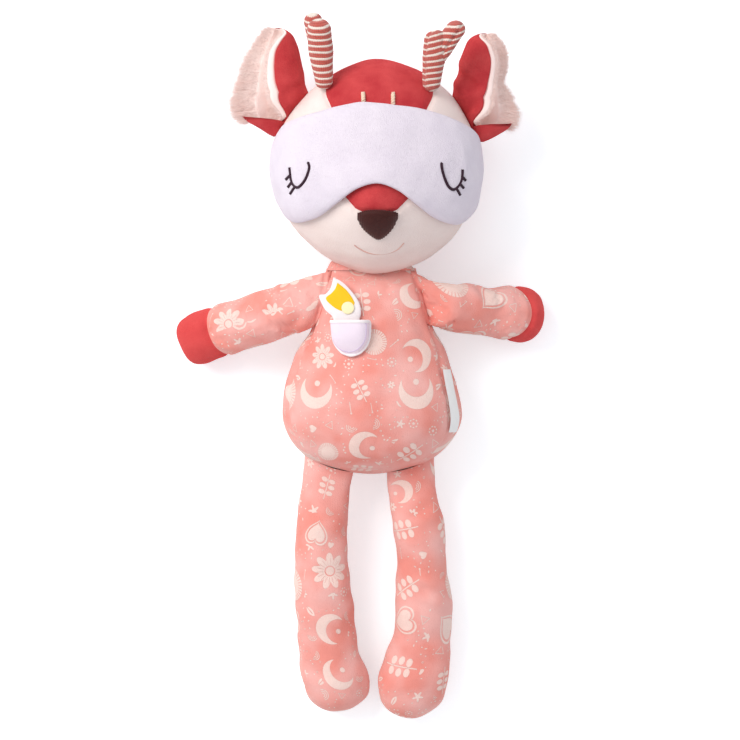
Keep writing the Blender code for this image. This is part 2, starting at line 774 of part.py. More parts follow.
def torso_section(y):
    """Half width, half depth and middle height of the body at a place along it."""
    top = TORSO_LENGTH - TORSO_BELOW_ORIGIN
    rows = [(0, NECK_WIDTH / TORSO_WIDTH, NECK_DEPTH / TORSO_DEPTH, neck_middle() / TORSO_DEPTH)]
    for share, width, depth, lift in TORSO_ROW_SHARES:
        rows.append((share, width, depth, lift + depth / 2 - REST_FLAT / TORSO_DEPTH))
    rows.append((1, 0, 0, TORSO_TAIL_SHARE))
    share = min(max((top - y) / TORSO_LENGTH, 0), 1)
    for near, far in zip(rows, rows[1:]):
        if share <= far[0]:
            part = (share - near[0]) / (far[0] - near[0])
            width, depth, middle = (mix(a, b, part) for a, b in zip(near[1:], far[1:]))
            return width * TORSO_WIDTH / 2, depth * TORSO_DEPTH / 2, middle * TORSO_DEPTH
    return 0, 0, TORSO_TAIL_SHARE * TORSO_DEPTH


def neck_middle():
    """Height of the neck's middle, set back from the head's."""
    return HEAD_DEPTH / 2 - REST_FLAT - NECK_SET_BACK


def head_poses():
    """Places of the head over the whole reach of its turn and nod."""
    rest = head_matrix()
    pivot = Matrix.Translation(neck_pivot())
    poses = []
    for turn in (-NECK_TURN_LIMIT, -NECK_TURN_LIMIT / 2, 0, NECK_TURN_LIMIT / 2, NECK_TURN_LIMIT):
        for nod in (NOD_BACK, NOD_BACK / 2, 0, NOD_FORWARD / 2, NOD_FORWARD):
            swing = Matrix.Rotation(turn, 4, "Y") @ Matrix.Rotation(nod, 4, "X")
            poses.append(rest @ pivot @ swing @ pivot.inverted())
    return poses


def head_underside(x, z, poses):
    """Lowest Y at which the head passes over x, z in any of its poses."""
    sizes = Matrix.Diagonal((2 / HEAD_WIDTH, 2 / HEAD_HEIGHT, 2 / HEAD_DEPTH))
    found = []
    for pose in poses:
        to_head = pose.inverted()
        start = sizes @ (to_head @ Vector((x, 0, z)))
        along = sizes @ (to_head.to_3x3() @ Vector((0, 1, 0)))
        half = start.dot(along)
        room = half**2 - along.length_squared * (start.length_squared - 1)
        if room > 0:
            found.append((-half - math.sqrt(room)) / along.length_squared)
    return min(found)


def torso_angles(front):
    """Angles round the body of one panel; an odd count of back steps keeps the spine flat."""
    if front:
        return [mix(BODY_SEAM, math.pi - BODY_SEAM, share) for share in steps(10)]
    return [mix(math.pi - BODY_SEAM, math.tau + BODY_SEAM, share) for share in steps(15)]


def torso_rows(inset, angles, seam_shift, poses):
    """Rings of the body inside its skin by inset, from the neck to the tail."""
    top = TORSO_LENGTH - TORSO_BELOW_ORIGIN
    rows = [[]]
    half_width = NECK_WIDTH / 2 - inset
    half_depth = NECK_DEPTH / 2 - inset
    for angle in angles:
        x = half_width * math.cos(angle)
        z = neck_middle() + half_depth * math.sin(angle)
        rows[0].append(Vector((x, head_underside(x, z, poses) - NECK_REACH_ROOM, z)))
    for share, _, _, _ in TORSO_ROW_SHARES:
        y = top - share * TORSO_LENGTH
        half_width, half_depth, middle = torso_section(y)
        rows.append([])
        for angle in angles:
            z = middle + (half_depth - inset) * math.sin(angle)
            rows[-1].append(Vector(((half_width - inset) * math.cos(angle), y, max(z, 0))))
    tail_middle = torso_section(top - TORSO_LENGTH)[2]
    rows.append([Vector((0, inset * POLE_WALL_SHARE - TORSO_BELOW_ORIGIN, tail_middle + seam_shift))])
    for row in rows[:-1]:
        for end in (0, -1):
            row[end].z += seam_shift
    return rows


def make_torso(matrix, parent):
    """Front and back panels of the body round its stuffing, and the neck's stitching."""
    poses = head_poses()
    for name, front in (("torso_front_panel", True), ("torso_back_panel", False)):
        shift = CLEARANCE / 2 if front else -CLEARANCE / 2
        angles = torso_angles(front)
        outer = torso_rows(0, angles, shift, poses)
        inner = torso_rows(FABRIC, angles, shift, poses)
        shell(name, outer, inner, False, matrix, parent, CORAL)
    angles = torso_angles(True)[:-1] + torso_angles(False)[:-1]
    core = torso_rows(FABRIC + FILL_ROOM, angles, 0, poses)[1:]
    solid("torso_stuffing", core, matrix, parent, FILL)
    make_neck_stitching(matrix, parent, poses)


def make_neck_stitching(matrix, parent, poses):
    """Ring of thread round the neck seam."""
    radius = NECK_THREAD / 2
    grow = radius + CLEARANCE
    rows = []
    for angle in ring_angles(24):
        x = (NECK_WIDTH / 2 + grow) * math.cos(angle)
        z = neck_middle() + (NECK_DEPTH / 2 + grow) * math.sin(angle)
        y = head_underside(x, z, poses) - NECK_REACH_ROOM
        outward = Vector((math.cos(angle), 0, math.sin(angle)))
        rows.append([
            Vector((x, y + math.sin(turn) * radius, z)) + outward * (math.cos(turn) * radius)
            for turn in ring_angles(6)
        ])
    mesh = bmesh.new()
    rings = add_rows(mesh, rows)
    for index, ring in enumerate(rings):
        bridge(mesh, rings[index - 1], ring, True)
    finish("neck_stitching", mesh, matrix, parent, CREAM)


def make_neck_stuffing(matrix, parent, poses):
    """Round wad that packs the neck between the body's stuffing and the head."""
    radius = NECK_DEPTH / 2 - FABRIC - FILL_ROOM - NECK_SET_BACK
    pivot = matrix.translation
    top_y = TORSO_LENGTH * (1 - TORSO_ROW_SHARES[0][0]) - TORSO_BELOW_ORIGIN
    low = top_y + FILL_ROOM - pivot.y
    rows = []
    for share in WAD_RING_SHARES:
        size = radius * share
        highs = []
        for angle in ring_angles(8):
            x = pivot.x + size * math.cos(angle)
            z = pivot.z + size * math.sin(angle)
            highs.append(head_underside(x, z, poses))
        rows.append((size, min(highs) - FILL_ROOM - pivot.y))
    places = [(radius, low)] + list(reversed(rows))
    rings = []
    for size, y in places:
        count = 1 if size == 0 else 16
        rings.append([Vector((size * math.cos(a), y, size * math.sin(a))) for a in ring_angles(count)])
    solid("neck_stuffing", rings, matrix, parent, FILL)


# Arms and legs


def limb_ring(middle, long_axis, half_width, half_depth, bulge=0):
    """Oval ring across a limb in its own frame; a bulge moves its front and back along the limb."""
    ring = []
    for angle in ring_angles(12):
        point = middle + long_axis * (math.cos(angle) * half_width)
        ring.append(point + Vector((bulge * abs(math.sin(angle)), 0, math.sin(angle) * half_depth)))
    return ring


def root_rings(root_axis, root_width, inset):
    """Rings of a limb's flat rounded root, about the axis that it swings on."""
    along = Vector((1, 0, 0))
    away = (along - root_axis * along.dot(root_axis)).normalized()
    rings = []
    for turn in ROOT_TURNS:
        middle = -away * (LIMB_ROOT * math.cos(math.radians(turn)))
        thin = LIMB_ROOT * math.sin(math.radians(turn))
        half_depth = max(thin - inset, thin * SLIT_SHARE)
        rings.append(limb_ring(middle, root_axis, root_width / 2 - inset, half_depth))
    return rings


def arm_rows(reach, root_axis, inset, first, last):
    """Rings of an arm in its own frame, +X along it, between two shares of its reach."""
    rows = root_rings(root_axis, ARM_ROOT_WIDTH, inset) if first == 0 else []
    upright = Vector((0, 1, 0))
    for share, width, depth in ARM_ROW_SHARES + HAND_ROW_SHARES:
        if not first <= share <= last:
            continue
        turn = min(share / ARM_ROW_SHARES[1][0], 1)
        axis = root_axis.lerp(upright, turn).normalized()
        half_width = ARM_WIDTH / 2 * width - inset
        half_depth = max(ARM_DEPTH / 2 * depth - inset, ARM_DEPTH / 2 * depth * SLIT_SHARE)
        near_wrist = share in (ARM_ROW_SHARES[-1][0], HAND_ROW_SHARES[0][0])
        bulge = HAND_SEAM_BULGE / 2 if near_wrist else 0
        rows.append(limb_ring(Vector((share * reach, 0, 0)), axis, half_width, half_depth, bulge))
    return rows


def wrist_ring(reach, inset, shift):
    """Ring at the wrist seam, which bulges towards the hand."""
    middle = Vector((WRIST_SHARE * reach + shift, 0, 0))
    return limb_ring(
        middle, Vector((0, 1, 0)), ARM_WIDTH / 2 - inset, ARM_DEPTH / 2 - inset, HAND_SEAM_BULGE / 2,
    )


def hand_tip(reach, inset):
    """Point at the end of a hand."""
    return [Vector((reach - inset, 0, 0))]


def make_arm(name, reach, matrix, parent):
    """Arm cover, hand cover and the stuffing in them."""
    root_axis = (matrix.to_3x3().inverted() @ shoulder_axis(name)).normalized()
    root_axis = root_axis if root_axis.y > 0 else -root_axis
    covers = []
    for inset in (0, FABRIC):
        arm = arm_rows(reach, root_axis, inset, 0, WRIST_SHARE)
        arm += [wrist_ring(reach, inset, -CLEARANCE / 2)]
        hand = [wrist_ring(reach, inset, CLEARANCE / 2)]
        hand += arm_rows(reach, root_axis, inset, WRIST_SHARE, 1) + [hand_tip(reach, inset)]
        covers.append((arm, hand))
    shell(f"arm_cover_{name}", covers[0][0], covers[1][0], True, matrix, parent, CORAL)
    shell(f"hand_cover_{name}", covers[0][1], covers[1][1], True, matrix, parent, RED)
    inset = FABRIC + FILL_ROOM
    core = arm_rows(reach, root_axis, inset, ARM_ROW_SHARES[0][0], WRIST_SHARE)
    core += [wrist_ring(reach, inset, 0)]
    core += arm_rows(reach, root_axis, inset, WRIST_SHARE, 1) + [hand_tip(reach, inset * POLE_WALL_SHARE)]
    solid(f"arm_stuffing_{name}", core, matrix, parent, FILL)


def seam_point(y, side, lift):
    """Point on the body's side seam, moved out by lift."""
    half_width, half_depth, middle = torso_section(y)
    outward = Vector((math.cos(BODY_SEAM) * half_depth, 0, math.sin(BODY_SEAM) * half_width)).normalized()
    point = Vector((half_width * math.cos(BODY_SEAM), y, middle + half_depth * math.sin(BODY_SEAM)))
    point += outward * lift
    return Vector((side * point.x, point.y, point.z))


def shoulder_ends(name):
    """Upper and lower end of the line that an arm swings on."""
    side = -1 if name == "left" else 1
    lift = LIMB_ROOT + CLEARANCE
    ys = (SHOULDER_ABOVE_ORIGIN + ARM_ROOT_WIDTH / 2, SHOULDER_ABOVE_ORIGIN - ARM_ROOT_WIDTH / 2)
    return [seam_point(y, side, lift) for y in ys]


def shoulder_axis(name):
    """Direction of the shoulder seam, down the body."""
    upper, lower = shoulder_ends(name)
    return (lower - upper).normalized()


def arm_matrix(name, reach, droop):
    """Place of an arm: its root on the shoulder seam, its hand on the resting surface."""
    upper, lower = shoulder_ends(name)
    middle = (upper + lower) / 2
    side = -1 if name == "left" else 1
    drop = middle.z - ARM_DEPTH / 2 * HAND_ROW_SHARES[0][2] - CLEARANCE
    slope = math.asin(drop / (reach * HAND_ROW_SHARES[1][0]))
    flat = math.cos(slope)
    along = Vector((side * math.cos(droop) * flat, -math.sin(droop) * flat, -math.sin(slope)))
    upright = Vector((0, 0, 1)).cross(along).normalized()
    upright = upright if upright.y > 0 else -upright
    thin = along.cross(upright)
    return frame_from(along, upright, thin, middle)


def frame_from(x_axis, y_axis, z_axis, origin):
    """Matrix of a frame with the given axes."""
    matrix = Matrix((x_axis, y_axis, z_axis)).transposed().to_4x4()
    matrix.translation = origin
    return matrix


def leg_rows(side, inset, skip_root):
    """Rings of a leg in its own frame, +X down the leg and +Y towards the doll's left."""
    across = Vector((0, 1, 0))
    rings = root_rings(across, LEG_ROOT_WIDTH, inset)
    rows = [] if skip_root else [slanted(ring, side, LEG_SLANT_SHARES[0]) for ring in rings]
    for index, (share, width, depth, drift) in enumerate(LEG_ROW_SHARES):
        middle = Vector((share * LEG_LENGTH, side * drift * LEG_WIDTH, 0))
        full_depth = LEG_DEPTH / 2 * depth
        half_depth = max(full_depth - inset, full_depth * SLIT_SHARE)
        ring = limb_ring(middle, across, LEG_WIDTH / 2 * width - inset, half_depth)
        follow = LEG_SLANT_SHARES[index + 1] if index + 1 < len(LEG_SLANT_SHARES) else 0
        rows.append(slanted(ring, side, follow))
    rows.append([Vector((LEG_LENGTH - inset * POLE_WALL_SHARE, side * LEG_TIP_DRIFT_SHARE * LEG_WIDTH, 0))])
    return rows


def slanted(ring, side, follow):
    """Ring of a leg moved up to follow the body's bottom seam, as far as follow says."""
    inner = LEG_SPACING / 2 - LEG_ROOT_WIDTH / 2
    level = underside_level(inner, HIP_HEIGHT)
    moved = []
    for point in ring:
        x = abs(side * LEG_SPACING / 2 + point.y)
        rise = underside_level(max(x, inner), HIP_HEIGHT) - level
        moved.append(point - Vector((rise * follow, 0, 0)))
    return moved


def underside_level(x, z):
    """Place along the body where its bottom passes a distance x from the middle, at a height z."""
    y = -TORSO_BELOW_ORIGIN
    while y < TORSO_LENGTH - TORSO_BELOW_ORIGIN:
        half_width, half_depth, middle = torso_section(y)
        if half_width > 0 and (x / half_width) ** 2 + ((z - middle) / half_depth) ** 2 < 1:
            return y
        y += CLEARANCE
    return y


def resting_slope(height, rings):
    """Steepest slope at which rings of a limb, as run and half depth, stay above the resting surface."""
    slopes = []
    for run, half_depth in rings:
        reach = math.hypot(run, half_depth)
        slopes.append(math.asin((height - CLEARANCE) / reach) - math.atan2(half_depth, run))
    return min(slopes)


def leg_matrix(side):
    """Place of a leg: its root at the body's bottom seam, its foot on the resting surface."""
    level = underside_level(LEG_SPACING / 2 - LEG_ROOT_WIDTH / 2, HIP_HEIGHT)
    middle = Vector((side * LEG_SPACING / 2, level - LIMB_ROOT - FILL_ROOM, HIP_HEIGHT))
    lower_rows = LEG_ROW_SHARES[len(LEG_SLANT_SHARES):]
    slope = resting_slope(HIP_HEIGHT, [(row[0] * LEG_LENGTH, row[2] * LEG_DEPTH / 2) for row in lower_rows])
    along = Vector((0, -math.cos(slope), -math.sin(slope)))
    upright = Vector((1, 0, 0))
    return frame_from(along, upright, along.cross(upright), middle)


def make_leg(name, matrix, parent):
    """Leg cover and the stuffing in it."""
    side = -1 if name == "left" else 1
    outer = leg_rows(side, 0, False)
    inner = leg_rows(side, FABRIC, False)
    shell(f"leg_cover_{name}", outer, inner, True, matrix, parent, CORAL)
    solid(f"leg_stuffing_{name}", leg_rows(side, FABRIC + FILL_ROOM, True), matrix, parent, FILL)


# Pocket, keepsake and label


def on_torso(x, y, lift):
    """Point over the body's front at a place x, y."""
    half_width, half_depth, middle = torso_section(y)
    across = x / half_width
    height = (half_depth + lift) * math.sqrt(max(0, 1 - across**2))
    return Vector(((half_width + lift) * across, y, middle + height))


def pocket_rows(lift):
    """Points of the pocket's puffed panel, from its mouth to its bottom point."""
    rows = []
    for share, width, puff in POCKET_ROW_SHARES:
        rows.append([])
        for part in steps(8):
            across = 2 * part - 1
            swell = POCKET_PUFF * puff * math.sqrt(max(0, 1 - across**4))
            x = across * width * POCKET_WIDTH / 2 - POCKET_LEFT
            rows[-1].append(on_torso(x, POCKET_ABOVE_ORIGIN - share * POCKET_HEIGHT, lift + swell))
    rows.append([on_torso(-POCKET_LEFT, POCKET_ABOVE_ORIGIN - POCKET_HEIGHT, lift)])
    return rows


def make_pocket(matrix, parent):
    """Patch pocket, open at its top, and the binding along its mouth."""
    outer = pocket_rows(CLEARANCE + POCKET_CLOTH)
    shell("pocket_panel", outer, pocket_rows(CLEARANCE), False, matrix, parent, LAVENDER)
    low = CLEARANCE + POCKET_CLOTH + CLEARANCE
    grids = []
    for lift in (low + BINDING_THICKNESS, low):
        near, far = pocket_rows(lift)[:2]
        share = BINDING_WIDTH / (POCKET_ROW_SHARES[1][0] * POCKET_HEIGHT)
        grids.append([near, [a.lerp(b, share) for a, b in zip(near, far)]])
    shell("pocket_binding", grids[0], grids[1], False, matrix, parent, WHITE)


def keepsake_matrix():
    """Place of the keepsake: it lies on the chest with its lower end in the pocket."""
    lean = Vector((-math.sin(KEEPSAKE_TILT), math.cos(KEEPSAKE_TILT), -math.tan(KEEPSAKE_SLOPE)))
    hidden = Vector((KEEPSAKE_MOUTH_SHIFT - POCKET_LEFT, POCKET_ABOVE_ORIGIN)) - lean.xy * KEEPSAKE_HIDDEN
    along = lean.normalized()
    across = along.cross(Vector((0, 0, 1))).normalized()
    out = across.cross(along)
    matrix = frame_from(across, along, out, on_torso(hidden.x, hidden.y, 0))
    return Matrix.Translation(out * (keepsake_rise(matrix) + FILL_ROOM)) @ matrix


def keepsake_rise(matrix):
    """How far the keepsake stands off the chest to clear it, and the neck's thread, on its whole way."""
    thread_level = TORSO_LENGTH * (1 - TORSO_ROW_SHARES[0][0]) - TORSO_BELOW_ORIGIN
    out = matrix.to_3x3() @ Vector((0, 0, 1))
    rise = 0
    for travel in (0, KEEPSAKE_TRAVEL / 2, KEEPSAKE_TRAVEL):
        for row in KEEPSAKE_ROW_SHARES:
            for point in keepsake_ring(*row, 0, KEEPSAKE_DEPTH):
                place_ = matrix @ (point + Vector((0, travel, 0)))
                lift = NECK_THREAD + 2 * CLEARANCE if place_.y > thread_level else 0
                rise = max(rise, (on_torso(place_.x, place_.y, lift) - place_).dot(out))
    return rise


def keepsake_ring(share, width, depth, low, high):
    """Oval ring across the keepsake between two heights."""
    ring = []
    for angle in ring_angles(12):
        x = math.cos(angle) * width * KEEPSAKE_WIDTH / 2
        z = (low + high) / 2 + math.sin(angle) * depth * (high - low) / 2
        ring.append(Vector((x, share * KEEPSAKE_LENGTH, z)))
    return ring


def make_keepsake(matrix, parent):
    """Padded backing of the keepsake and its raised yellow top."""
    rows = [[Vector((0, 0, KEEPSAKE_DEPTH / 2))]]
    rows += [keepsake_ring(*row, 0, KEEPSAKE_DEPTH) for row in KEEPSAKE_ROW_SHARES]
    rows.append([Vector((0, KEEPSAKE_LENGTH, KEEPSAKE_DEPTH / 2))])
    solid("keepsake_backing", rows, matrix, parent, WHITE)
    low = KEEPSAKE_DEPTH + CLEARANCE
    outline = []
    for angle in ring_angles(16):
        x = math.cos(angle) * KEEPSAKE_WIDTH * KEEPSAKE_TOP_SHARES[0]
        y = KEEPSAKE_LENGTH * (KEEPSAKE_TOP_SHARES[1] + math.sin(angle) * KEEPSAKE_TOP_SHARES[2])
        outline.append((x, y))
    patch(
        "keepsake_top", outline, lambda x, y, z: Vector((x, y, z)), low, low + KEEPSAKE_TOP_PAD,
        matrix, parent, YELLOW,
    )


def make_label(matrix, parent):
    """Bare woven label sewn into the side seam, which lies along the flank."""
    grids = []
    for lift in (FILL_ROOM + LABEL_THICKNESS, FILL_ROOM):
        rows = []
        for share in steps(8):
            y = mix(LABEL_LENGTH / 2, -LABEL_LENGTH / 2, share) - LABEL_BELOW_ORIGIN
            half_width, half_depth, middle = torso_section(y)
            rows.append([])
            for part in steps(5):
                angle = BODY_SEAM - part * LABEL_WIDTH / (TORSO_DEPTH / 2)
                x = (half_width + lift) * math.cos(angle)
                rows[-1].append(Vector((x, y, middle + (half_depth + lift) * math.sin(angle))))
        grids.append(rows)
    shell("side_label", grids[0], grids[1], False, matrix, parent, WHITE)


def build_head(body):
    """Head and everything that it carries."""
    middle = head_matrix()
    neck_place = middle @ Matrix.Translation(neck_pivot())
    neck = joint_frame("neck_joint", neck_place, body)
    make_neck_stuffing(neck_place, neck, head_poses())
    head = joint_frame("head_joint", neck_place, neck)
    make_head_covers(middle, head)
    make_head_stuffing(middle, head)
    make_nose(middle, head)
    make_face_stitches(middle, head)
    make_strap(middle, head)
    mask = joint_frame("mask_joint", middle @ Matrix.Translation(mask_hinge_point()), head)
    make_mask(middle, mask)
    for side, name in ((-1, "left"), (1, "right")):
        ends = ear_hinge(side)
        ear = joint_frame(f"ear_joint_{name}", middle @ Matrix.Translation((ends[0] + ends[1]) / 2), head)
        make_ear(name, side, middle, ear)
        place_ = middle @ antler_matrix(side)
        make_antler(name, place_, joint_frame(f"antler_joint_{name}", place_, head))


def antler_matrix(side):
    """Place of an antler's foot on the head, in the head's frame."""
    x = side * ANTLER_SPACING / 2
    foot = on_face(x, ANTLER_ABOVE_CENTRE, 0)
    sizes = (HEAD_WIDTH / 2, HEAD_HEIGHT / 2, HEAD_DEPTH / 2)
    outward = Vector([value / size**2 for value, size in zip(foot, sizes)]).normalized()
    turn = Matrix.Rotation(-side * ANTLER_OUTWARD, 4, "Z") @ Matrix.Rotation(ANTLER_FORWARD, 4, "X")
    turn = turn @ Matrix.Rotation(LEFT_ANTLER_TWIST if side < 0 else 0, 4, "Y")
    return Matrix.Translation(foot + outward * (ANTLER_BASE_RADIUS + CLEARANCE)) @ turn


def build():
    """Whole doll."""
    clear_scene()
    whole = Matrix.Identity(4)
    body = joint_frame("body_frame", whole)
    make_torso(whole, body)
    make_pocket(whole, body)
    build_head(body)
    arms = (("left", LEFT_ARM_REACH, LEFT_ARM_DROOP), ("right", RIGHT_ARM_REACH, RIGHT_ARM_DROOP))
    for name, reach, droop in arms:
        arm_place = arm_matrix(name, reach, droop)
        make_arm(name, reach, arm_place, joint_frame(f"shoulder_joint_{name}", arm_place, body))
        leg_place = leg_matrix(-1 if name == "left" else 1)
        make_leg(name, leg_place, joint_frame(f"hip_joint_{name}", leg_place, body))
    keepsake_place = keepsake_matrix()
    make_keepsake(keepsake_place, joint_frame("keepsake_joint", keepsake_place, body))
    label_place = Matrix.Translation(seam_point(-LABEL_BELOW_ORIGIN, 1, FILL_ROOM))
    make_label(whole, joint_frame("label_joint", label_place, body))


build()
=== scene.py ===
"""Looks of the stuffed fawn doll: sewn cloth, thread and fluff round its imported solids."""
import json
import math

import bmesh
import bpy
import numpy as np
from mathutils import Matrix, Vector


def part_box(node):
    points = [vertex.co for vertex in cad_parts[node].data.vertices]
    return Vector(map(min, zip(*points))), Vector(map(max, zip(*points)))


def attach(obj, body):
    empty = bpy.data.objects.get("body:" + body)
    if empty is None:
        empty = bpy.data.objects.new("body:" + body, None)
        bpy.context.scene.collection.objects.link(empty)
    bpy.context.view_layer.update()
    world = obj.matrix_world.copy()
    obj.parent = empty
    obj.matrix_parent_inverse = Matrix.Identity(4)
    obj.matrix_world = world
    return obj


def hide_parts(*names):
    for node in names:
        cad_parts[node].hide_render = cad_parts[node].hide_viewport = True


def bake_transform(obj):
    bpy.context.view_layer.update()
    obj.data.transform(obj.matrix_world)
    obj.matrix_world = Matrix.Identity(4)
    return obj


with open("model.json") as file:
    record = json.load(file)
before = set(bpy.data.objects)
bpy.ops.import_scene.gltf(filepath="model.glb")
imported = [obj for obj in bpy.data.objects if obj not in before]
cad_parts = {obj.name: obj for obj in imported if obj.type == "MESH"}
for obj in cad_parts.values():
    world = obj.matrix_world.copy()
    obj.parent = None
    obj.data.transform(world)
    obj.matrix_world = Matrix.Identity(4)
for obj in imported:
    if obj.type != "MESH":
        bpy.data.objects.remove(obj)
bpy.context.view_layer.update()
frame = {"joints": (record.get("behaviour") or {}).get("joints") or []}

# Room between pieces, as in the solids
GAP = 0.0003
ROOM = 0.0008

# Photograph: metres a pixel, the pixel over the origin, its width, and the camera over the head's middle
PIXEL = 0.000516
ORIGIN_PIXEL = (371, 380)
FRAME_PIXELS = 740
CAMERA_ABOVE = 1.5
CAMERA_PLACE = (FRAME_PIXELS / 2 - np.array(ORIGIN_PIXEL)) * (PIXEL, -PIXEL)

# Sizes of the body
TORSO_LENGTH = 0.1068
TORSO_BELOW = 0.049
TORSO_TOP = TORSO_LENGTH - TORSO_BELOW
TORSO_WIDTH = 0.0934
TORSO_DEPTH = 0.060
REST_FLAT = 0.0005
BODY_SEAM = math.radians(21.7)
NECK_MIDDLE = 0.0360
# Place down the length, half width, half depth, height of the middle, as shares
TORSO_ROWS = np.array((
    (0.0, 0.4925, 0.467, 0.600), (0.073, 0.525, 0.500, 0.577), (0.154, 0.578, 0.600, 0.554),
    (0.275, 0.675, 0.780, 0.517), (0.406, 0.845, 0.925, 0.458), (0.504, 0.908, 0.975, 0.480),
    (0.561, 0.948, 0.995, 0.492), (0.662, 1.0, 1.0, 0.492), (0.734, 1.0, 0.985, 0.484),
    (0.807, 0.942, 0.935, 0.470), (0.869, 0.830, 0.850, 0.457), (0.913, 0.715, 0.735, 0.444),
    (0.962, 0.480, 0.500, 0.402), (1.0, 0.0, 0.0, 0.360),
))

# Ends of each soft fold of the body's front, depth, half width
TORSO_FOLDS = (
    ((-0.0004, -0.0300, 0.053), (-0.0008, -0.0480, 0.035), 0.0013, 0.0010),
    ((-0.0085, -0.0330, 0.050), (-0.0060, -0.0450, 0.038), 0.0007, 0.0016),
    ((0.0070, -0.0320, 0.050), (0.0060, -0.0440, 0.040), 0.0006, 0.0016),
    ((-0.0200, 0.0560, 0.042), (-0.0110, 0.0500, 0.046), 0.0013, 0.0016),
    ((-0.0190, 0.0510, 0.044), (-0.0070, 0.0455, 0.050), 0.0009, 0.0018),
    ((0.0130, 0.0560, 0.044), (0.0080, 0.0470, 0.049), 0.0008, 0.0018),
    ((-0.0300, 0.0230, 0.045), (-0.0200, 0.0300, 0.052), 0.0007, 0.0030),
    ((0.0300, 0.0210, 0.045), (0.0210, 0.0330, 0.050), 0.0008, 0.0030),
)

# Sizes of the head
HEAD_SIZE = np.array((0.105, 0.1104, 0.078))
HEAD_MIDDLE = Vector((0.0033, 0.1104, 0.0385))
HEAD = Matrix.Translation(HEAD_MIDDLE) @ Matrix.Rotation(math.radians(-1.5), 4, "Z")
# Shares of its width that the head loses at the crown and at the chin
CROWN_NARROWING = 0.17
CHIN_NARROWING = 0.06
MUZZLE_RISE = 0.009
MUZZLE_SPREAD = 0.018
MUZZLE_BELOW = 0.027
SEAM_LEVEL = 0.12
# Ends of each soft fold beside the mouth, depth, half width
FACE_FOLDS = (
    ((-0.0085, -0.0170, 0.046), (0.0080, -0.0165, 0.046), 0.0006, 0.0011),
    ((-0.0095, -0.0200, 0.047), (0.0090, -0.0205, 0.047), 0.0007, 0.0012),
    ((-0.0200, -0.0300, 0.044), (-0.0120, -0.0360, 0.044), 0.0004, 0.0018),
    ((0.0130, -0.0250, 0.046), (0.0190, -0.0330, 0.042), 0.0005, 0.0018),
)
# Crown gusset: turn from the crown towards the nose in degrees, half width
GUSSET_ROWS = np.array((
    (-7, 0.56), (8, 0.57), (24, 0.57), (43, 0.54), (58.5, 0.462), (81, 0.393), (97.5, 0.374),
    (108.5, 0.340), (117, 0.206),
))
# Turn at which the gusset's corners beside the nose begin
GUSSET_CORNER = 108.5


def srgb(text):
    """Linear colour of a screen colour in hex digits."""
    return tuple((int(text[at:at + 2], 16) / 255) ** 2.2 for at in (0, 2, 4)) + (1.0,)


# Curves and grids


def smooth(table, at):
    """Cubic curve through the rows of a table, whose first column is the place along it."""
    places = table[:, 0]
    values = table[:, 1:]
    slopes = np.gradient(values, places, axis=0)
    at = np.clip(at, places[0], places[-1])
    index = np.clip(np.searchsorted(places, at, side="right") - 1, 0, len(places) - 2)
    span = (places[index + 1] - places[index])[..., None]
    part = (at - places[index])[..., None] / span
    rest = 1 - part
    start = rest**2 * (1 + 2 * part) * values[index] + rest**2 * part * span * slopes[index]
    end = part**2 * (3 - 2 * part) * values[index + 1] - part**2 * rest * span * slopes[index + 1]
    return start + end


def rounded(table, at, columns):
    """Curve through a table, some of whose columns are taken as squares, so that they end round."""
    squares = table.copy()
    squares[:, columns] **= 2
    values = smooth(squares, at)
    ends = [column - 1 for column in columns]
    values[..., ends] = np.sqrt(np.clip(values[..., ends], 0, None))
    return values


def eased(part):
    """Share from 0 to 1 that starts and ends softly."""
    part = np.clip(part, 0, 1)
    return part**2 * (3 - 2 * part)


def turns(count):
    """Even angles round a circle."""
    return np.linspace(0, math.tau, count, endpoint=False)


def crowded(count):
    """Shares from 0 to 1 that lie closer together at both ends."""
    return (1 - np.cos(np.linspace(0, math.pi, count))) / 2


def domed(count):
    """Shares from 0 to 1 that lie closer together at the far end."""
    return np.sin(np.linspace(0, math.pi / 2, count))


def path_run(path):
    """Length along a path at each of its points."""
    return np.concatenate([[0], np.cumsum(np.linalg.norm(np.diff(path, axis=0), axis=1))])


def unit(vectors):
    """Vectors of length one."""
    return vectors / np.maximum(np.linalg.norm(vectors, axis=-1, keepdims=True), 1e-12)


def lumps(points, size, seed, count=7):
    """Soft random swells from about -1 to 1 over points, as wide as size."""
    dice = np.random.default_rng(seed)
    total = np.zeros(points.shape[:-1])
    for _ in range(count):
        way = unit(dice.normal(size=3)) * math.tau / (size * dice.uniform(1.4, 2.6))
        total += np.sin(points @ way + dice.uniform(0, math.tau))
    return total / math.sqrt(count)


def grid_normals(points, closed):
    """Direction off a grid at each of its points."""
    down = np.gradient(points, axis=0)
    if closed:
        across = np.roll(points, -1, axis=1) - np.roll(points, 1, axis=1)
    else:
        across = np.gradient(points, axis=1)
    off = np.cross(down, across)
    flat = np.linalg.norm(off, axis=-1).max(axis=1) < 1e-12
    if flat[0]:
        off[0] = off[1].mean(axis=0)
    if flat[-1]:
        off[-1] = off[-2].mean(axis=0)
    return unit(off)


def run_along(points, axis):
    """Length along a grid's lines in one direction."""
    lengths = np.linalg.norm(np.diff(points, axis=axis), axis=-1)
    pad = [(0, 0), (0, 0)]
    pad[axis] = (1, 0)
    return np.cumsum(np.pad(lengths, pad), axis=axis)


def grid_faces(rows, columns, closed):
    """Corners of a grid's faces, as indices of its points."""
    row = np.arange(rows - 1)[:, None] * columns
    column = np.arange(columns if closed else columns - 1)[None, :]
    following = (column + 1) % columns
    return np.stack([
        row + column, row + following, row + columns + following, row + columns + column,
    ], axis=-1).reshape(-1, 4)


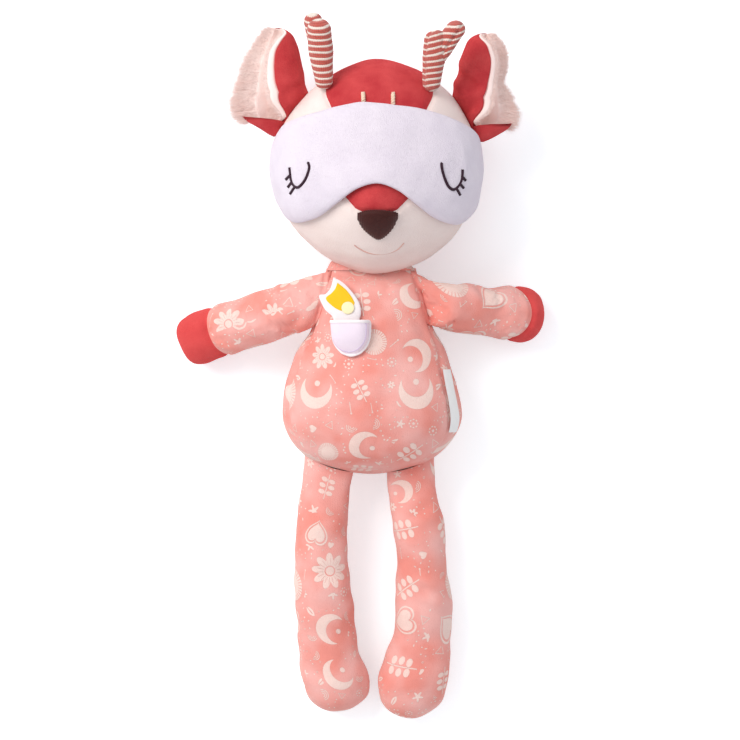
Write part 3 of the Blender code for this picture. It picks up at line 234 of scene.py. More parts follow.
def sewn(points, outward, sides, dip=0.0011, width=0.0019, pucker=0.00022, seed=1):
    """Grid whose edges sink into a seam, with the small gathers that a seam makes."""
    sunk = np.zeros(points.shape[:2])
    for side in sides:
        axis = 0 if side in ("first", "last") else 1
        lengths = run_along(points, axis)
        if side in ("last", "right"):
            lengths = lengths.take([-1], axis=axis) - lengths
        edge = points[0 if side == "first" else -1] if axis == 0 else points[:, 0 if side == "left" else -1]
        gathers = lumps(edge, 0.0035, seed) + 0.6 * lumps(edge, 0.0017, seed + 1)
        gathers = gathers[None, :] if axis == 0 else gathers[:, None]
        sunk = np.maximum(sunk, dip * np.exp(-((lengths / width) ** 2)))
        sunk = sunk + pucker * gathers * np.exp(-lengths / 0.004) * (1 - np.exp(-lengths / 0.0012))
    return points - outward * sunk[..., None]


def mesh_object(name, points, faces, material, uv=None, inside=None):
    """Smooth mesh object; inside is a point that its faces look away from."""
    mesh = bpy.data.meshes.new(name)
    mesh.from_pydata(points.reshape(-1, 3).tolist(), [], faces.tolist())
    if uv is not None:
        mesh.uv_layers.new(name="cloth").data.foreach_set("uv", uv.reshape(-1).tolist())
    made = bmesh.new()
    made.from_mesh(mesh)
    bmesh.ops.remove_doubles(made, verts=made.verts, dist=1e-7)
    made.normal_update()
    if inside is not None:
        facing = sum(face.normal.dot(face.calc_center_median() - Vector(inside)) for face in made.faces)
        if facing < 0:
            bmesh.ops.reverse_faces(made, faces=made.faces)
    made.to_mesh(mesh)
    made.free()
    mesh.shade_smooth()
    mesh.materials.append(material)
    item = bpy.data.objects.new(name, mesh)
    bpy.context.scene.collection.objects.link(item)
    return item


def cloth_grid(name, points, material, closed=False, inside=None, shift=(0.0, 0.0), chart=None):
    """Mesh of a grid of points, with its lengths in metres as UV; chart gives other heights for it."""
    wrapped = np.concatenate([points, points[:, :1]], axis=1) if closed else points
    middle = wrapped.shape[1] // 2
    across = run_along(wrapped, 1)
    across -= across[:, middle][:, None]
    down = run_along(wrapped, 0)[:, middle][:, None] * np.ones_like(across)
    if chart is not None:
        down = -np.concatenate([chart, chart[:, :1]], axis=1) if closed else -chart
    chart = np.stack([across + shift[0], -down + shift[1]], axis=-1)
    corners = np.stack([chart[:-1, :-1], chart[:-1, 1:], chart[1:, 1:], chart[1:, :-1]], axis=2)
    if inside is None:
        inside = points.reshape(-1, 3).mean(axis=0)
    return mesh_object(name, points, grid_faces(*points.shape[:2], closed), material, corners, inside)


def joined(name, items):
    """One mesh object of several."""
    if len(items) > 1:
        with bpy.context.temp_override(active_object=items[0], selected_editable_objects=items):
            bpy.ops.object.join()
    items[0].name = name
    return items[0]


def joined_grids(name, grids, material):
    """One mesh of several closed grids."""
    return joined(name, [cloth_grid(name, grid, material, True) for grid in grids])


def placed(matrix, points):
    """Points moved from a local frame to the row frame."""
    turn = np.array(matrix.to_3x3())
    return points @ turn.T + np.array(matrix.translation)


def dressed(item, slot, *nodes, fill=None):
    """Hide the imported parts that a piece of the scene stands in for."""
    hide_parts(*nodes)
    return item


# Cloth simulation


CLOTH_SETTINGS = {
    "quality": 6, "mass": 0.25, "tension_stiffness": 18, "compression_stiffness": 18,
    "bending_stiffness": 0.6, "air_damping": 3, "vertex_group_mass": "held", "shrink_min": -0.035,
    "use_pressure": True, "uniform_pressure_force": 4.0,
}
CLOTH_FRAMES = 20
# Points down and across the coarse copy of a grid
CLOTH_POINTS = (46, 40)
GRIPS = {"first": np.s_[:1], "last": np.s_[-2:], "left": np.s_[:, :1], "right": np.s_[:, -1:]}


def inflated(grid, closed, held):
    """Grid after a short cloth simulation, held at some edges and filled from inside."""
    faces = grid_faces(*grid.shape[:2], closed)
    middle = grid.reshape(-1, 3).mean(axis=0)
    if ((grid - middle) * grid_normals(grid, closed)).sum() < 0:
        faces = faces[:, ::-1]
    mesh = bpy.data.meshes.new("relaxed")
    mesh.from_pydata(grid.reshape(-1, 3).tolist(), [], faces.tolist())
    item = bpy.data.objects.new("relaxed", mesh)
    bpy.context.scene.collection.objects.link(item)
    grip = np.zeros(grid.shape[:2])
    for edge in held:
        grip[GRIPS[edge]] = 1
    item.vertex_groups.new(name="held").add(np.flatnonzero(grip).tolist(), 1.0, "REPLACE")
    cloth = item.modifiers.new("cloth", "CLOTH")
    for setting, value in CLOTH_SETTINGS.items():
        setattr(cloth.settings, setting, value)
    cloth.settings.effector_weights.gravity = 0
    cloth.collision_settings.use_collision = False
    cloth.point_cache.frame_start = 1
    cloth.point_cache.frame_end = CLOTH_FRAMES
    scene = bpy.context.scene
    for moment in range(1, CLOTH_FRAMES + 1):
        scene.frame_set(moment)
    shown = item.evaluated_get(bpy.context.evaluated_depsgraph_get())
    moved = np.zeros(grid.size)
    shown.data.vertices.foreach_get("co", moved)
    scene.frame_set(1)
    bpy.data.objects.remove(item)
    bpy.data.meshes.remove(mesh)
    return moved.reshape(grid.shape)


def spread(places, values, count):
    """Values at some places of their first axis, carried smoothly to all of count."""
    table = np.concatenate([places[:, None], values.reshape(len(places), -1)], axis=1)
    return smooth(table, np.arange(count)).reshape(count, *values.shape[1:])


def relaxed(points, closed, held, cap):
    """Grid moved as a coarse copy of it moves in the cloth simulation, by less than cap."""
    rows, columns = points.shape[:2]
    down = np.unique(np.linspace(0, rows - 1, CLOTH_POINTS[0]).round().astype(int))
    last = columns - columns / CLOTH_POINTS[1] if closed else columns - 1
    across = np.unique(np.linspace(0, last, CLOTH_POINTS[1]).round().astype(int))
    coarse = points[np.ix_(down, across)]
    move = inflated(coarse, closed, held) - coarse
    length = np.linalg.norm(move, axis=-1, keepdims=True)
    move = move * cap * np.tanh(length / cap) / np.maximum(length, 1e-9)
    if closed:
        move = np.concatenate([move, move[:, :1]], axis=1)
        across = np.append(across, columns)
    wide = spread(across, move.transpose(1, 0, 2), columns).transpose(1, 0, 2)
    return points + spread(down, wide, rows)


# Materials


class Net:
    """Small builder of shader maths in one material."""

    def __init__(self, name):
        self.material = bpy.data.materials.new(name)
        self.material.use_nodes = True
        self.tree = self.material.node_tree
        self.shader = self.tree.nodes["Principled BSDF"]

    def link(self, value, socket):
        """Set a socket to a number or join it to another socket."""
        if isinstance(value, bpy.types.NodeSocket):
            self.tree.links.new(value, socket)
        else:
            socket.default_value = value

    def math(self, operation, *values, clamp=False):
        """Result of one maths step."""
        node = self.tree.nodes.new("ShaderNodeMath")
        node.operation = operation
        node.use_clamp = clamp
        for value, socket in zip(values, node.inputs):
            self.link(value, socket)
        return node.outputs[0]

    def node(self, kind, output, settings=None, **inputs):
        """Output of a new node with its named inputs joined."""
        node = self.tree.nodes.new(kind)
        for key, value in (settings or {}).items():
            setattr(node, key, value)
        for key, value in inputs.items():
            self.link(value, node.inputs[key.replace("_", " ")])
        return node.outputs[output]

    def mix(self, share, first, second):
        """Mixed colour."""
        node = self.tree.nodes.new("ShaderNodeMix")
        node.data_type = "RGBA"
        self.link(share, node.inputs[0])
        self.link(first, node.inputs[6])
        self.link(second, node.inputs[7])
        return node.outputs[2]

    def separate(self, vector):
        """Outputs with the parts of a vector."""
        node = self.tree.nodes.new("ShaderNodeSeparateXYZ")
        self.link(vector, node.inputs[0])
        return node.outputs

    def sine(self, value, rate):
        """Sine of a value times a rate."""
        return self.math("SINE", self.math("MULTIPLY", value, rate))

    def noise(self, vector, scale, detail=2.0):
        """Smooth noise over a vector."""
        return self.node("ShaderNodeTexNoise", 0, Vector=vector, Scale=scale, Detail=detail)

    def coordinates(self, which):
        """One of the outputs of Texture Coordinate."""
        return self.node("ShaderNodeTexCoord", which)

    def bump(self, height, distance, strength=1.0):
        """Join a height to the shader's normal."""
        node = self.tree.nodes.new("ShaderNodeBump")
        node.inputs["Distance"].default_value = distance
        node.inputs["Strength"].default_value = strength
        self.link(height, node.inputs["Height"])
        self.link(node.outputs[0], self.shader.inputs["Normal"])

    def cloth(self, colour, roughness, sheen, sheen_tint=None):
        """Fabric settings of the shader."""
        self.link(colour, self.shader.inputs["Base Color"])
        self.shader.inputs["Roughness"].default_value = roughness
        self.shader.inputs["Specular IOR Level"].default_value = 0.2
        self.shader.inputs["Sheen Weight"].default_value = sheen
        self.shader.inputs["Sheen Roughness"].default_value = 0.5
        if sheen_tint is not None:
            self.shader.inputs["Sheen Tint"].default_value = sheen_tint
        return self.material

    def glow(self, colour, strength):
        """Painted glow: emission that lifts the cloth's shade though it is no lamp."""
        self.shader.inputs["Emission Color"].default_value = colour
        self.shader.inputs["Emission Strength"].default_value = strength


def velour(name, colour, shade, sheen, nap=0.00035, glow=0.0):
    """Short pile: a fine nap, with soft patches where it lies another way, and, when glow is set, a painted
    glow that lifts the shade of long pile.
    """
    net = Net(name)
    place = net.coordinates("Object")
    patches = net.noise(place, 90.0, 3.0)
    fibres = net.noise(place, 2600.0, 1.0)
    patch = net.math("MULTIPLY_ADD", patches, 2.2, -0.7, clamp=True)
    speckle = net.math("MULTIPLY_ADD", fibres, 1.6, -0.3, clamp=True)
    share = net.math("MULTIPLY_ADD", speckle, 0.35, net.math("MULTIPLY", patch, 0.65))
    net.bump(net.math("ADD", fibres, net.math("MULTIPLY", patches, 0.8)), nap)
    # Painted glow: emission that brightens shaded pile, standing in for light passing through it
    if glow:
        net.glow(PAINTED_GLOW_TINT, glow)
    return net.cloth(net.mix(share, shade, colour), 0.95, sheen, colour)


def thread(name, colour, shade):
    """Satin embroidery thread."""
    net = Net(name)
    fibres = net.noise(net.coordinates("Object"), 3200.0, 1.0)
    net.bump(fibres, 0.00008)
    share = net.math("MULTIPLY_ADD", fibres, 2.0, -0.5, clamp=True)
    return net.cloth(net.mix(share, shade, colour), 0.55, 0.1)


CORAL = srgb("F4B4AB")
CORAL_SHADE = srgb("EF9386")
PRINT_CREAM = srgb("F6E1D5")
# Tint of the painted glow that brightens the shaded fluff
PAINTED_GLOW_TINT = (1.0, 0.72, 0.67, 1)


class Motifs:
    """Pale shapes on one layer of cells of the print."""

    def __init__(self, net, chart, spacing, jitter, radius, offset):
        self.net = net
        moved = net.node("ShaderNodeVectorMath", 0, {"operation": "ADD"}, Vector=chart)
        moved.node.inputs[1].default_value = (offset, offset / 2, 0)
        cells = net.tree.nodes.new("ShaderNodeTexVoronoi")
        cells.voronoi_dimensions = "2D"
        net.link(moved, cells.inputs["Vector"])
        cells.inputs["Scale"].default_value = 1 / spacing
        cells.inputs["Randomness"].default_value = jitter
        away = net.tree.nodes.new("ShaderNodeVectorMath")
        away.operation = "SUBTRACT"
        net.link(moved, away.inputs[0])
        net.link(cells.outputs["Position"], away.inputs[1])
        dice = net.tree.nodes.new("ShaderNodeSeparateColor")
        net.link(cells.outputs["Color"], dice.inputs[0])
        self.pick = dice.outputs[0]
        turn = net.tree.nodes.new("ShaderNodeVectorRotate")
        turn.rotation_type = "Z_AXIS"
        net.link(away.outputs[0], turn.inputs["Vector"])
        net.link(net.math("MULTIPLY", dice.outputs[1], math.tau), turn.inputs["Angle"])
        x, y = net.separate(turn.outputs[0])[:2]
        size = net.math("MULTIPLY_ADD", dice.outputs[2], 0.35 * radius, 0.72 * radius)
        grow = net.math("DIVIDE", 1.0, size)
        self.x = net.math("MULTIPLY", x, grow)
        self.y = net.math("MULTIPLY", y, grow)
        self.reach = self.distance(0, 0)
        self.angle = net.math("ARCTAN2", self.y, self.x)
        self.shown = []

    def distance(self, x, y, stretch=1.0):
        """Distance to a point in a motif."""
        across = self.net.math("SUBTRACT", self.x, x)
        up = self.net.math("MULTIPLY", self.net.math("SUBTRACT", self.y, y), stretch)
        squares = self.net.math("MULTIPLY_ADD", across, across, self.net.math("MULTIPLY", up, up))
        return self.net.math("SQRT", squares)

    def inside(self, value, limit):
        """One where a value is under a limit."""
        return self.net.math("LESS_THAN", value, limit)

    def above(self, value, limit):
        """One where a value is over a limit."""
        return self.net.math("GREATER_THAN", value, limit)

    def both(self, first, second):
        """One where both are."""
        return self.net.math("MULTIPLY", first, second)

    def either(self, *shapes):
        """One where any of the shapes is."""
        result = shapes[0]
        for shape in shapes[1:]:
            result = self.net.math("MAXIMUM", result, shape)
        return result

    def spot(self, x, y, size, stretch=1.0):
        """Round spot, or one that is flattened across."""
        return self.inside(self.distance(x, y, stretch), size)

    def bar(self, across, along, width, length):
        """Bar of two half sizes."""
        return self.both(
            self.inside(self.net.math("ABSOLUTE", across), width),
            self.inside(self.net.math("ABSOLUTE", along), length),
        )

    def petals(self, count, length, middle):
        """Flower whose petals reach past its middle by a length."""
        edge = self.net.math("MULTIPLY_ADD", self.wave(count), length, middle)
        return self.inside(self.reach, edge)

    def heart(self):
        """Value that grows outward from the middle of a heart."""
        root = self.net.math("SQRT", self.net.math("ABSOLUTE", self.x))
        up = self.net.math("MULTIPLY", self.y, 1.1)
        lifted = self.net.math("SUBTRACT", up, self.net.math("MULTIPLY", root, 0.62))
        return self.net.math("MULTIPLY_ADD", self.x, self.x, self.net.math("MULTIPLY", lifted, lifted))

    def less(self, first, second):
        """First shape without the second."""
        return self.net.math("SUBTRACT", first, second, clamp=True)

    def wave(self, count, phase=0.0):
        """Wave round the middle of a motif, from 0 to 1."""
        turned = self.net.math("MULTIPLY_ADD", self.angle, count / 2, phase)
        return self.net.math("ABSOLUTE", self.net.math("COSINE", turned))

    def ring(self, near, far):
        """Band between two distances."""
        return self.less(self.inside(self.reach, far), self.inside(self.reach, near))

    def add(self, low, high, shape):
        """Show a shape in the cells whose pick lies between two shares."""
        chosen = self.both(self.above(self.pick, low), self.inside(self.pick, high))
        self.shown.append(self.both(chosen, shape))

    def total(self):
        """All the shapes of the layer."""
        return self.either(*self.shown)


SPRIG_LEAVES = ((-0.45, 0.28), (-0.45, -0.28), (0.0, 0.33), (0.0, -0.33), (0.45, 0.28), (0.45, -0.28))
# Place across and up, radius
CLOUD_PUFFS = (
    (0, -0.1, 0.45), (-0.48, -0.2, 0.34), (0.48, -0.2, 0.34), (-0.22, 0.18, 0.34), (0.26, 0.16, 0.36),
)


def large_motifs(layer):
    """Sunburst, daisy, crescent with a dot, leafy sprig, cloud and heart with a rim."""
    rays = layer.both(layer.inside(layer.wave(30), 0.30), layer.above(layer.reach, 0.60))
    layer.add(-0.1, 0.20, layer.less(layer.inside(layer.reach, 0.90), rays))
    daisy = layer.less(layer.petals(9, 0.40, 0.55), layer.ring(0.22, 0.28))
    slits = layer.both(layer.inside(layer.wave(18, 0.5), 0.10), layer.ring(0.34, 0.66))
    layer.add(0.20, 0.38, layer.less(daisy, slits))
    moon = layer.less(layer.inside(layer.reach, 0.95), layer.spot(0.42, 0.12, 0.76))
    layer.add(0.38, 0.54, layer.either(moon, layer.spot(0.42, 0.12, 0.16)))
    line = layer.inside(layer.net.math("ABSOLUTE", layer.y), 0.035)
    stem = layer.both(line, layer.inside(layer.reach, 0.95))
    leaves = [layer.spot(x, y, 0.17, 0.72) for x, y in SPRIG_LEAVES]
    layer.add(0.54, 0.72, layer.either(stem, *leaves))
    cloud = layer.either(*(layer.spot(x, y, size) for x, y, size in CLOUD_PUFFS))
    layer.add(0.72, 0.85, layer.both(cloud, layer.above(layer.y, -0.42)))
    heart = layer.heart()
    rim = layer.less(layer.inside(heart, 0.62), layer.inside(heart, 0.46))
    layer.add(0.85, 1.1, layer.either(rim, layer.inside(heart, 0.34)))


def medium_motifs(layer):
    """Star, heart, leaf, rainbow, open triangle, baton, ring of dots and small flower."""
    net = layer.net
    points = net.math("MULTIPLY_ADD", net.math("POWER", layer.wave(5), 3.0), 0.58, 0.40)
    layer.add(-0.1, 0.14, layer.inside(layer.reach, points))
    layer.add(0.14, 0.27, layer.inside(layer.heart(), 0.46))
    leaf = layer.both(layer.spot(0, 0.85, 1.3), layer.spot(0, -0.85, 1.3))
    vein = layer.both(layer.inside(net.math("ABSOLUTE", layer.y), 0.06), layer.above(layer.x, -0.5))
    layer.add(0.27, 0.40, layer.less(leaf, vein))
    bows = layer.either(layer.ring(0.84, 0.98), layer.ring(0.54, 0.68), layer.ring(0.24, 0.38))
    layer.add(0.40, 0.54, layer.both(bows, layer.above(layer.y, -0.05)))
    sides = net.math("MULTIPLY_ADD", net.math("ABSOLUTE", layer.x), 0.87, net.math("MULTIPLY", layer.y, 0.5))
    corner = net.math("MAXIMUM", net.math("MULTIPLY", layer.y, -1.0), sides)
    layer.add(0.54, 0.66, layer.less(layer.inside(corner, 0.52), layer.inside(corner, 0.40)))
    rod = layer.bar(layer.y, layer.x, 0.07, 1.1)
    layer.add(0.66, 0.80, layer.either(rod, layer.spot(1.1, 0, 0.17), layer.spot(-1.1, 0, 0.17)))
    beads = layer.both(layer.ring(0.62, 0.88), layer.above(layer.wave(8), 0.6))
    layer.add(0.80, 0.90, layer.either(beads, layer.inside(layer.reach, 0.26)))
    layer.add(0.90, 1.1, layer.less(layer.petals(6, 0.5, 0.4), layer.inside(layer.reach, 0.2)))


def small_motifs(layer):
    """Dots, drops and rings."""
    layer.add(-0.1, 0.50, layer.inside(layer.reach, 0.62))
    layer.add(0.50, 0.80, layer.spot(0, 0, 0.5, 0.5))
    layer.add(0.80, 0.90, layer.ring(0.45, 0.8))


def printed_cotton():
    """Soft coral cotton with a pale raised print of its own design."""
    net = Net("printed_cotton")
    chart = net.coordinates("UV")
    large = Motifs(net, chart, 0.0262, 0.45, 0.0096, 0.0031)
    large_motifs(large)
    medium = Motifs(net, chart, 0.0112, 0.50, 0.0031, 0.0047)
    medium_motifs(medium)
    small = Motifs(net, chart, 0.0034, 0.75, 0.00075, 0.0007)
    small_motifs(small)
    clear = net.math("GREATER_THAN", large.reach, 1.14)
    middle = net.math("MULTIPLY", medium.total(), clear)
    gap = net.math("MULTIPLY", clear, net.math("GREATER_THAN", medium.reach, 1.25))
    scattered = net.math("GREATER_THAN", net.noise(chart, 62.0, 1.0), 0.50)
    dots = net.math("MULTIPLY", net.math("MULTIPLY", small.total(), gap), scattered)
    printed = net.math("MAXIMUM", net.math("MAXIMUM", large.total(), middle), dots)
    place = net.coordinates("Object")
    fibres = net.noise(place, 2400.0, 1.0)
    worn = net.math("MULTIPLY_ADD", fibres, 0.5, 0.50, clamp=True)
    patches = net.math("MULTIPLY_ADD", net.noise(place, 46.0, 2.0), 3.6, -1.25, clamp=True)
    base = net.mix(patches, CORAL_SHADE, CORAL)
    nap = net.math("ADD", fibres, net.math("MULTIPLY", net.noise(place, 500.0), 0.5))
    net.bump(net.math("MULTIPLY_ADD", printed, 0.8, nap), 0.00032)
    shown = net.math("MULTIPLY", printed, worn)
    return net.cloth(net.mix(shown, base, PRINT_CREAM), 0.95, 0.2, PRINT_CREAM)


# Width of a stitch, spacing of the ribs and of the stripes
KNIT_STITCH = 0.00095
KNIT_RIB = 0.00103
KNIT_STRIPE = 0.0031


def striped_knit():
    """Ribbed knit in dark red with thin cream stripes that run round a tine."""
    net = Net("striped_knit")
    across, along = net.separate(net.coordinates("UV"))[:2]
    stitch = net.math("ABSOLUTE", net.sine(across, math.pi / KNIT_STITCH))
    place = net.coordinates("Object")
    wander = net.math("MULTIPLY_ADD", net.noise(place, 70.0, 1.0), 0.0022, along)
    climbed = net.math("MULTIPLY_ADD", stitch, 0.00028, wander)
    cream = net.math("LESS_THAN", net.math("FRACT", net.math("MULTIPLY", climbed, 1 / KNIT_STRIPE)), 0.36)
    rib = net.math("ABSOLUTE", net.sine(climbed, math.pi / KNIT_RIB))
    fibres = net.noise(place, 2600.0, 1.0)
    dark = net.mix(fibres, srgb("B8493F"), srgb("D86D5E"))
    net.bump(net.math("ADD", net.math("ADD", rib, stitch), fibres), 0.0003)
    return net.cloth(net.mix(cream, dark, srgb("FDE9DB")), 0.9, 0.3)


def woven(name, colour, shade, pitch):
    """Plain weave for labels, tape and elastic."""
    net = Net(name)
    across, along = net.separate(net.coordinates("UV"))[:2]
    rate = math.tau / pitch
    weave = net.math("MULTIPLY", net.sine(across, rate), net.sine(along, rate))
    net.bump(weave, 0.00006)
    share = net.math("MULTIPLY_ADD", weave, 0.25, 0.75)
    return net.cloth(net.mix(share, shade, colour), 0.6, 0.1)


PRINT = printed_cotton()
RED = velour("red_velour", srgb("D95453"), srgb("B02C34"), 0.8)
CREAM = velour("cream_velour", srgb("F8E8E1"), srgb("F1DDD5"), 0.3)
LAVENDER = velour("mask_plush", srgb("F4EAF2"), srgb("EADFEA"), 0.3, 0.0006)
POCKET = velour("pocket_plush", srgb("F5E7F0"), srgb("ECDAE8"), 0.2, 0.00025)
# The fluff's last value, 0.13, is a painted glow: emission that brightens its self-shadowed strands
FLUFF = velour("fluff", srgb("F8EAE4"), srgb("F1D5CC"), 0.6, 0.0002, 0.13)
HANDS = velour("hand_velour", srgb("E45A57"), srgb("D04646"), 0.7)
KNIT = striped_knit()
BROWN = thread("brown_thread", srgb("4C211C"), srgb("300F0D"))
LASH = thread("lash_thread", srgb("3B2030"), srgb("2A1623"))
ROSE = thread("rose_thread", srgb("DDB0A4"), srgb("CD978B"))
THREAD = thread("cream_thread", srgb("F6DFC8"), srgb("E3C3A6"))
POCKET_THREAD = thread("pocket_thread", srgb("DCC9E2"), srgb("CDB8D6"))
WHITE = woven("white_trim", srgb("FCFAF7"), srgb("EDE8E4"), 0.0007)
ELASTIC = woven("elastic", srgb("EFE7F4"), srgb("DDD2E6"), 0.0012)
YELLOW = velour("keepsake_yellow", srgb("F8C933"), srgb("F0BC25"), 0.1, 0.00012)
SPOT = velour("keepsake_spot", srgb("FAF0C4"), srgb("F6E7B0"), 0.1, 0.00012)
CANVAS = velour("keepsake_white", srgb("FBF4F3"), srgb("F1E7E8"), 0.1, 0.00012)


# Panels of the head


def narrowing(up):
    """Factor of the head's width, smaller towards the crown and the chin."""
    return 1 - CROWN_NARROWING * np.clip(up, 0, 1) ** 3 - CHIN_NARROWING * np.clip(-up, 0, 1) ** 4


def head_skin(ways, lift=0.0):
    """Points of the head's skin in its own frame, for unit directions."""
    lift = np.asarray(lift)[..., None] if np.ndim(lift) else lift
    points = (HEAD_SIZE / 2 + lift) * ways
    points[..., 0] *= narrowing(ways[..., 1])
    off = (points[..., 0] / MUZZLE_SPREAD) ** 2 + ((points[..., 1] + MUZZLE_BELOW) / MUZZLE_SPREAD) ** 2
    points[..., 2] += MUZZLE_RISE * np.clip(ways[..., 2], 0, 1) * np.exp(-off)
    points[..., 2] = np.maximum(points[..., 2], REST_FLAT - HEAD_SIZE[2] / 2)
    return points


def over_face(x, y, lift=0.0):
    """Points in front of the head over places x, y."""
    up = y / (HEAD_SIZE[1] / 2 + lift)
    across = x / (HEAD_SIZE[0] / 2 + lift) / narrowing(up)
    out = np.sqrt(np.clip(1 - across**2 - up**2, 0, 1))
    return head_skin(np.stack([across, up, out], axis=-1), lift)


def round_head(longitude, latitude):
    """Unit directions from the head's middle; longitude 0 is out of the face."""
    flat = np.cos(latitude)
    return np.stack([np.sin(longitude) * flat, np.sin(latitude), np.cos(longitude) * flat], axis=-1)


def gusset_ways(down, across):
    """Directions over the crown gusset: down it from its back seam, and across it."""
    first, last = GUSSET_ROWS[0, 0], GUSSET_ROWS[-1, 0]
    turn = np.linspace(first, last, down)
    half = smooth(GUSSET_ROWS, turn)
    x = half * np.linspace(-1, 1, across)
    flat = np.sqrt(1 - x**2)
    angle = np.radians(turn)[:, None] * np.ones_like(x)
    back = -np.arcsin(SEAM_LEVEL / flat)
    near = np.clip((turn - first) / 15, 0, 1)[:, None]
    angle = angle + (back - np.radians(first)) * (1 - near)
    corner = np.clip((turn - GUSSET_CORNER) / (last - GUSSET_CORNER), 0, 1)[:, None] ** 2
    angle = angle + 0.05 * corner * (1 - (x / half) ** 2)
    return np.stack([x, np.cos(angle) * flat, np.sin(angle) * flat], axis=-1)


def face_ways(gusset, out):
    """Directions over the face panel, from the gusset's edge out to the side seam."""
    inner = np.concatenate([gusset[:, 0], gusset[-1, 1:-1], gusset[::-1, -1]])
    radius = math.sqrt(1 - SEAM_LEVEL**2)
    start = math.asin(inner[0, 0] / radius)
    angle = np.linspace(start, -2 * math.pi - start, len(inner))
    level = np.full(len(inner), -SEAM_LEVEL)
    outer = np.stack([np.sin(angle) * radius, np.cos(angle) * radius, level], axis=-1)
    share = np.linspace(0, 1, out)[None, :, None]
    ways = unit(inner[:, None] * (1 - share) + outer[:, None] * share)
    ways[:, -1] = outer
    return ways


def back_ways(down, around):
    """Directions over the back of the head, from the side seam to its middle."""
    turn = np.linspace(math.acos(SEAM_LEVEL), 0, down)[:, None]
    angle = turns(around)[None, :]
    flat = np.sin(turn)
    return np.stack([flat * np.cos(angle), flat * np.sin(angle), -np.cos(turn) + 0 * angle], axis=-1)


def head_panel(name, ways, sides, material, slot, nodes, closed=False):
    """One sewn panel of the head."""
    points = head_skin(ways)
    outward = unit(ways / HEAD_SIZE)
    soft = 0.00035 * lumps(points, 0.016, 5) + 0.00012 * lumps(points, 0.006, 6)
    soft *= np.clip((points[..., 2] + HEAD_SIZE[2] / 2) / 0.006, 0, 1)
    points = folded(points + outward * soft[..., None], outward, FACE_FOLDS)
    points = sewn(points, outward, sides, seed=len(name))
    item = cloth_grid(name, placed(HEAD, points), material, closed, HEAD_MIDDLE)
    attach(item, "head")
    return dressed(item, slot, *nodes, fill=0.9)


def make_head():
    """Crown gusset, face panel and back panel."""
    gusset = gusset_ways(150, 56)
    head_panel(
        "crown_gusset_cloth", gusset, ("first", "last", "left", "right"), RED, "red_velour",
        ("crown_gusset",),
    )
    head_panel(
        "face_panel_cloth", face_ways(gusset, 80), ("left", "right"), CREAM, "cream_velour",
        ("face_panel", "head_stuffing"),
    )
    head_panel(
        "head_back_cloth", back_ways(60, 180), ("first",), RED, "red_velour",
        ("head_back_panel",), closed=True,
    )


def over_world(height, *pixels):
    """Places x, y at a height that the photograph shows at pixels."""
    scale = PIXEL * (CAMERA_ABOVE + HEAD_MIDDLE.z - height) / CAMERA_ABOVE
    places = (np.array(pixels, float) - FRAME_PIXELS / 2) * (scale, -scale)
    return places + CAMERA_PLACE


def from_photo(height, *pixels):
    """The same places in the head's frame."""
    to_head = np.array(HEAD.inverted().to_3x3())[:2, :2]
    return (over_world(height, *pixels) - np.array(HEAD_MIDDLE.xy)) @ to_head.T


def folded(points, outward, folds):
    """Grid pressed in along soft folds, each between two places, and raised beside them."""
    for start, end, depth, width in folds:
        span = np.subtract(end, start)
        part = np.clip(((points - start) @ span) / (span @ span), 0, 1)
        away = np.linalg.norm(points - start - part[..., None] * span, axis=-1)
        fade = np.sqrt(np.sin(math.pi * (0.03 + 0.94 * part)))
        press = np.exp(-((away / width) ** 2)) - 0.5 * np.exp(-(((away - 1.9 * width) / width) ** 2))
        points = points - outward * (depth * fade * press)[..., None]
    return points


def resampled(points, count):
    """Even points along a smooth line through points."""
    places = np.arange(len(points), dtype=float)
    table = np.concatenate([places[:, None], points], axis=1)
    fine = smooth(table, np.linspace(0, places[-1], 400))
    run = path_run(fine)
    at = np.linspace(0, run[-1], count)
    return np.stack([np.interp(at, run, fine[:, axis]) for axis in range(fine.shape[1])], axis=-1)


def tube(path, radius, around=10, squeeze=1.0, up=None):
    """Rings round a path with rounded ends; squeeze flattens them along up."""
    count = len(path)
    along = unit(np.gradient(path, axis=0))
    up = np.broadcast_to(np.array((0, 0, 1.0)) if up is None else up, path.shape)
    side = unit(np.cross(along, up))
    top = unit(np.cross(side, along))
    radius = np.broadcast_to(radius, (count,)).copy()
    run = path_run(path)
    reach = radius.max()
    for ends in (run, run[::-1] * -1 + run[-1]):
        near = np.clip(np.abs(ends) / reach, 0, 1)
        radius *= np.sqrt(np.clip(1 - (1 - near) ** 2, 0, 1))
    angle = turns(around)[None, :, None]
    ring = side[:, None] * np.cos(angle) + top[:, None] * np.sin(angle) * squeeze
    return path[:, None] + ring * radius[:, None, None]


def stitched(name, paths, width, material, slot, nodes, body, lift, surface, rise=0.5, pitch=0.0004):
    """Satin stitching along paths of places x, y on a surface: ridges of thread side by side."""
    grids = []
    for path in paths:
        line = resampled(np.asarray(path), max(12, int(len(path) * 14)))
        points = surface(line[:, 0], line[:, 1], lift)
        raised = surface(line[:, 0], line[:, 1], lift + 0.001)
        run = path_run(points)
        even = np.linspace(0, run[-1], max(12, int(run[-1] / pitch * 4)))
        points = np.stack([np.interp(even, run, points[:, axis]) for axis in range(3)], axis=-1)
        raised = np.stack([np.interp(even, run, raised[:, axis]) for axis in range(3)], axis=-1)
        ridge = 1 + 0.10 * np.sin(even * math.tau / pitch)
        grids.append(tube(points, width / 2 * ridge, 10, rise, unit(raised - points)))
    item = joined_grids(name, [placed(HEAD, grid) for grid in grids], material)
    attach(item, body)
    return dressed(item, slot, *nodes)


# Face


# Pixels round the nose
NOSE_OUTLINE = ((357, 213), (366, 210.5), (378, 210), (390, 211), (398, 213), (397.5, 219), (393, 228),
                (386, 235.5), (378.5, 239), (371, 235.5), (362.5, 228), (357.5, 219))


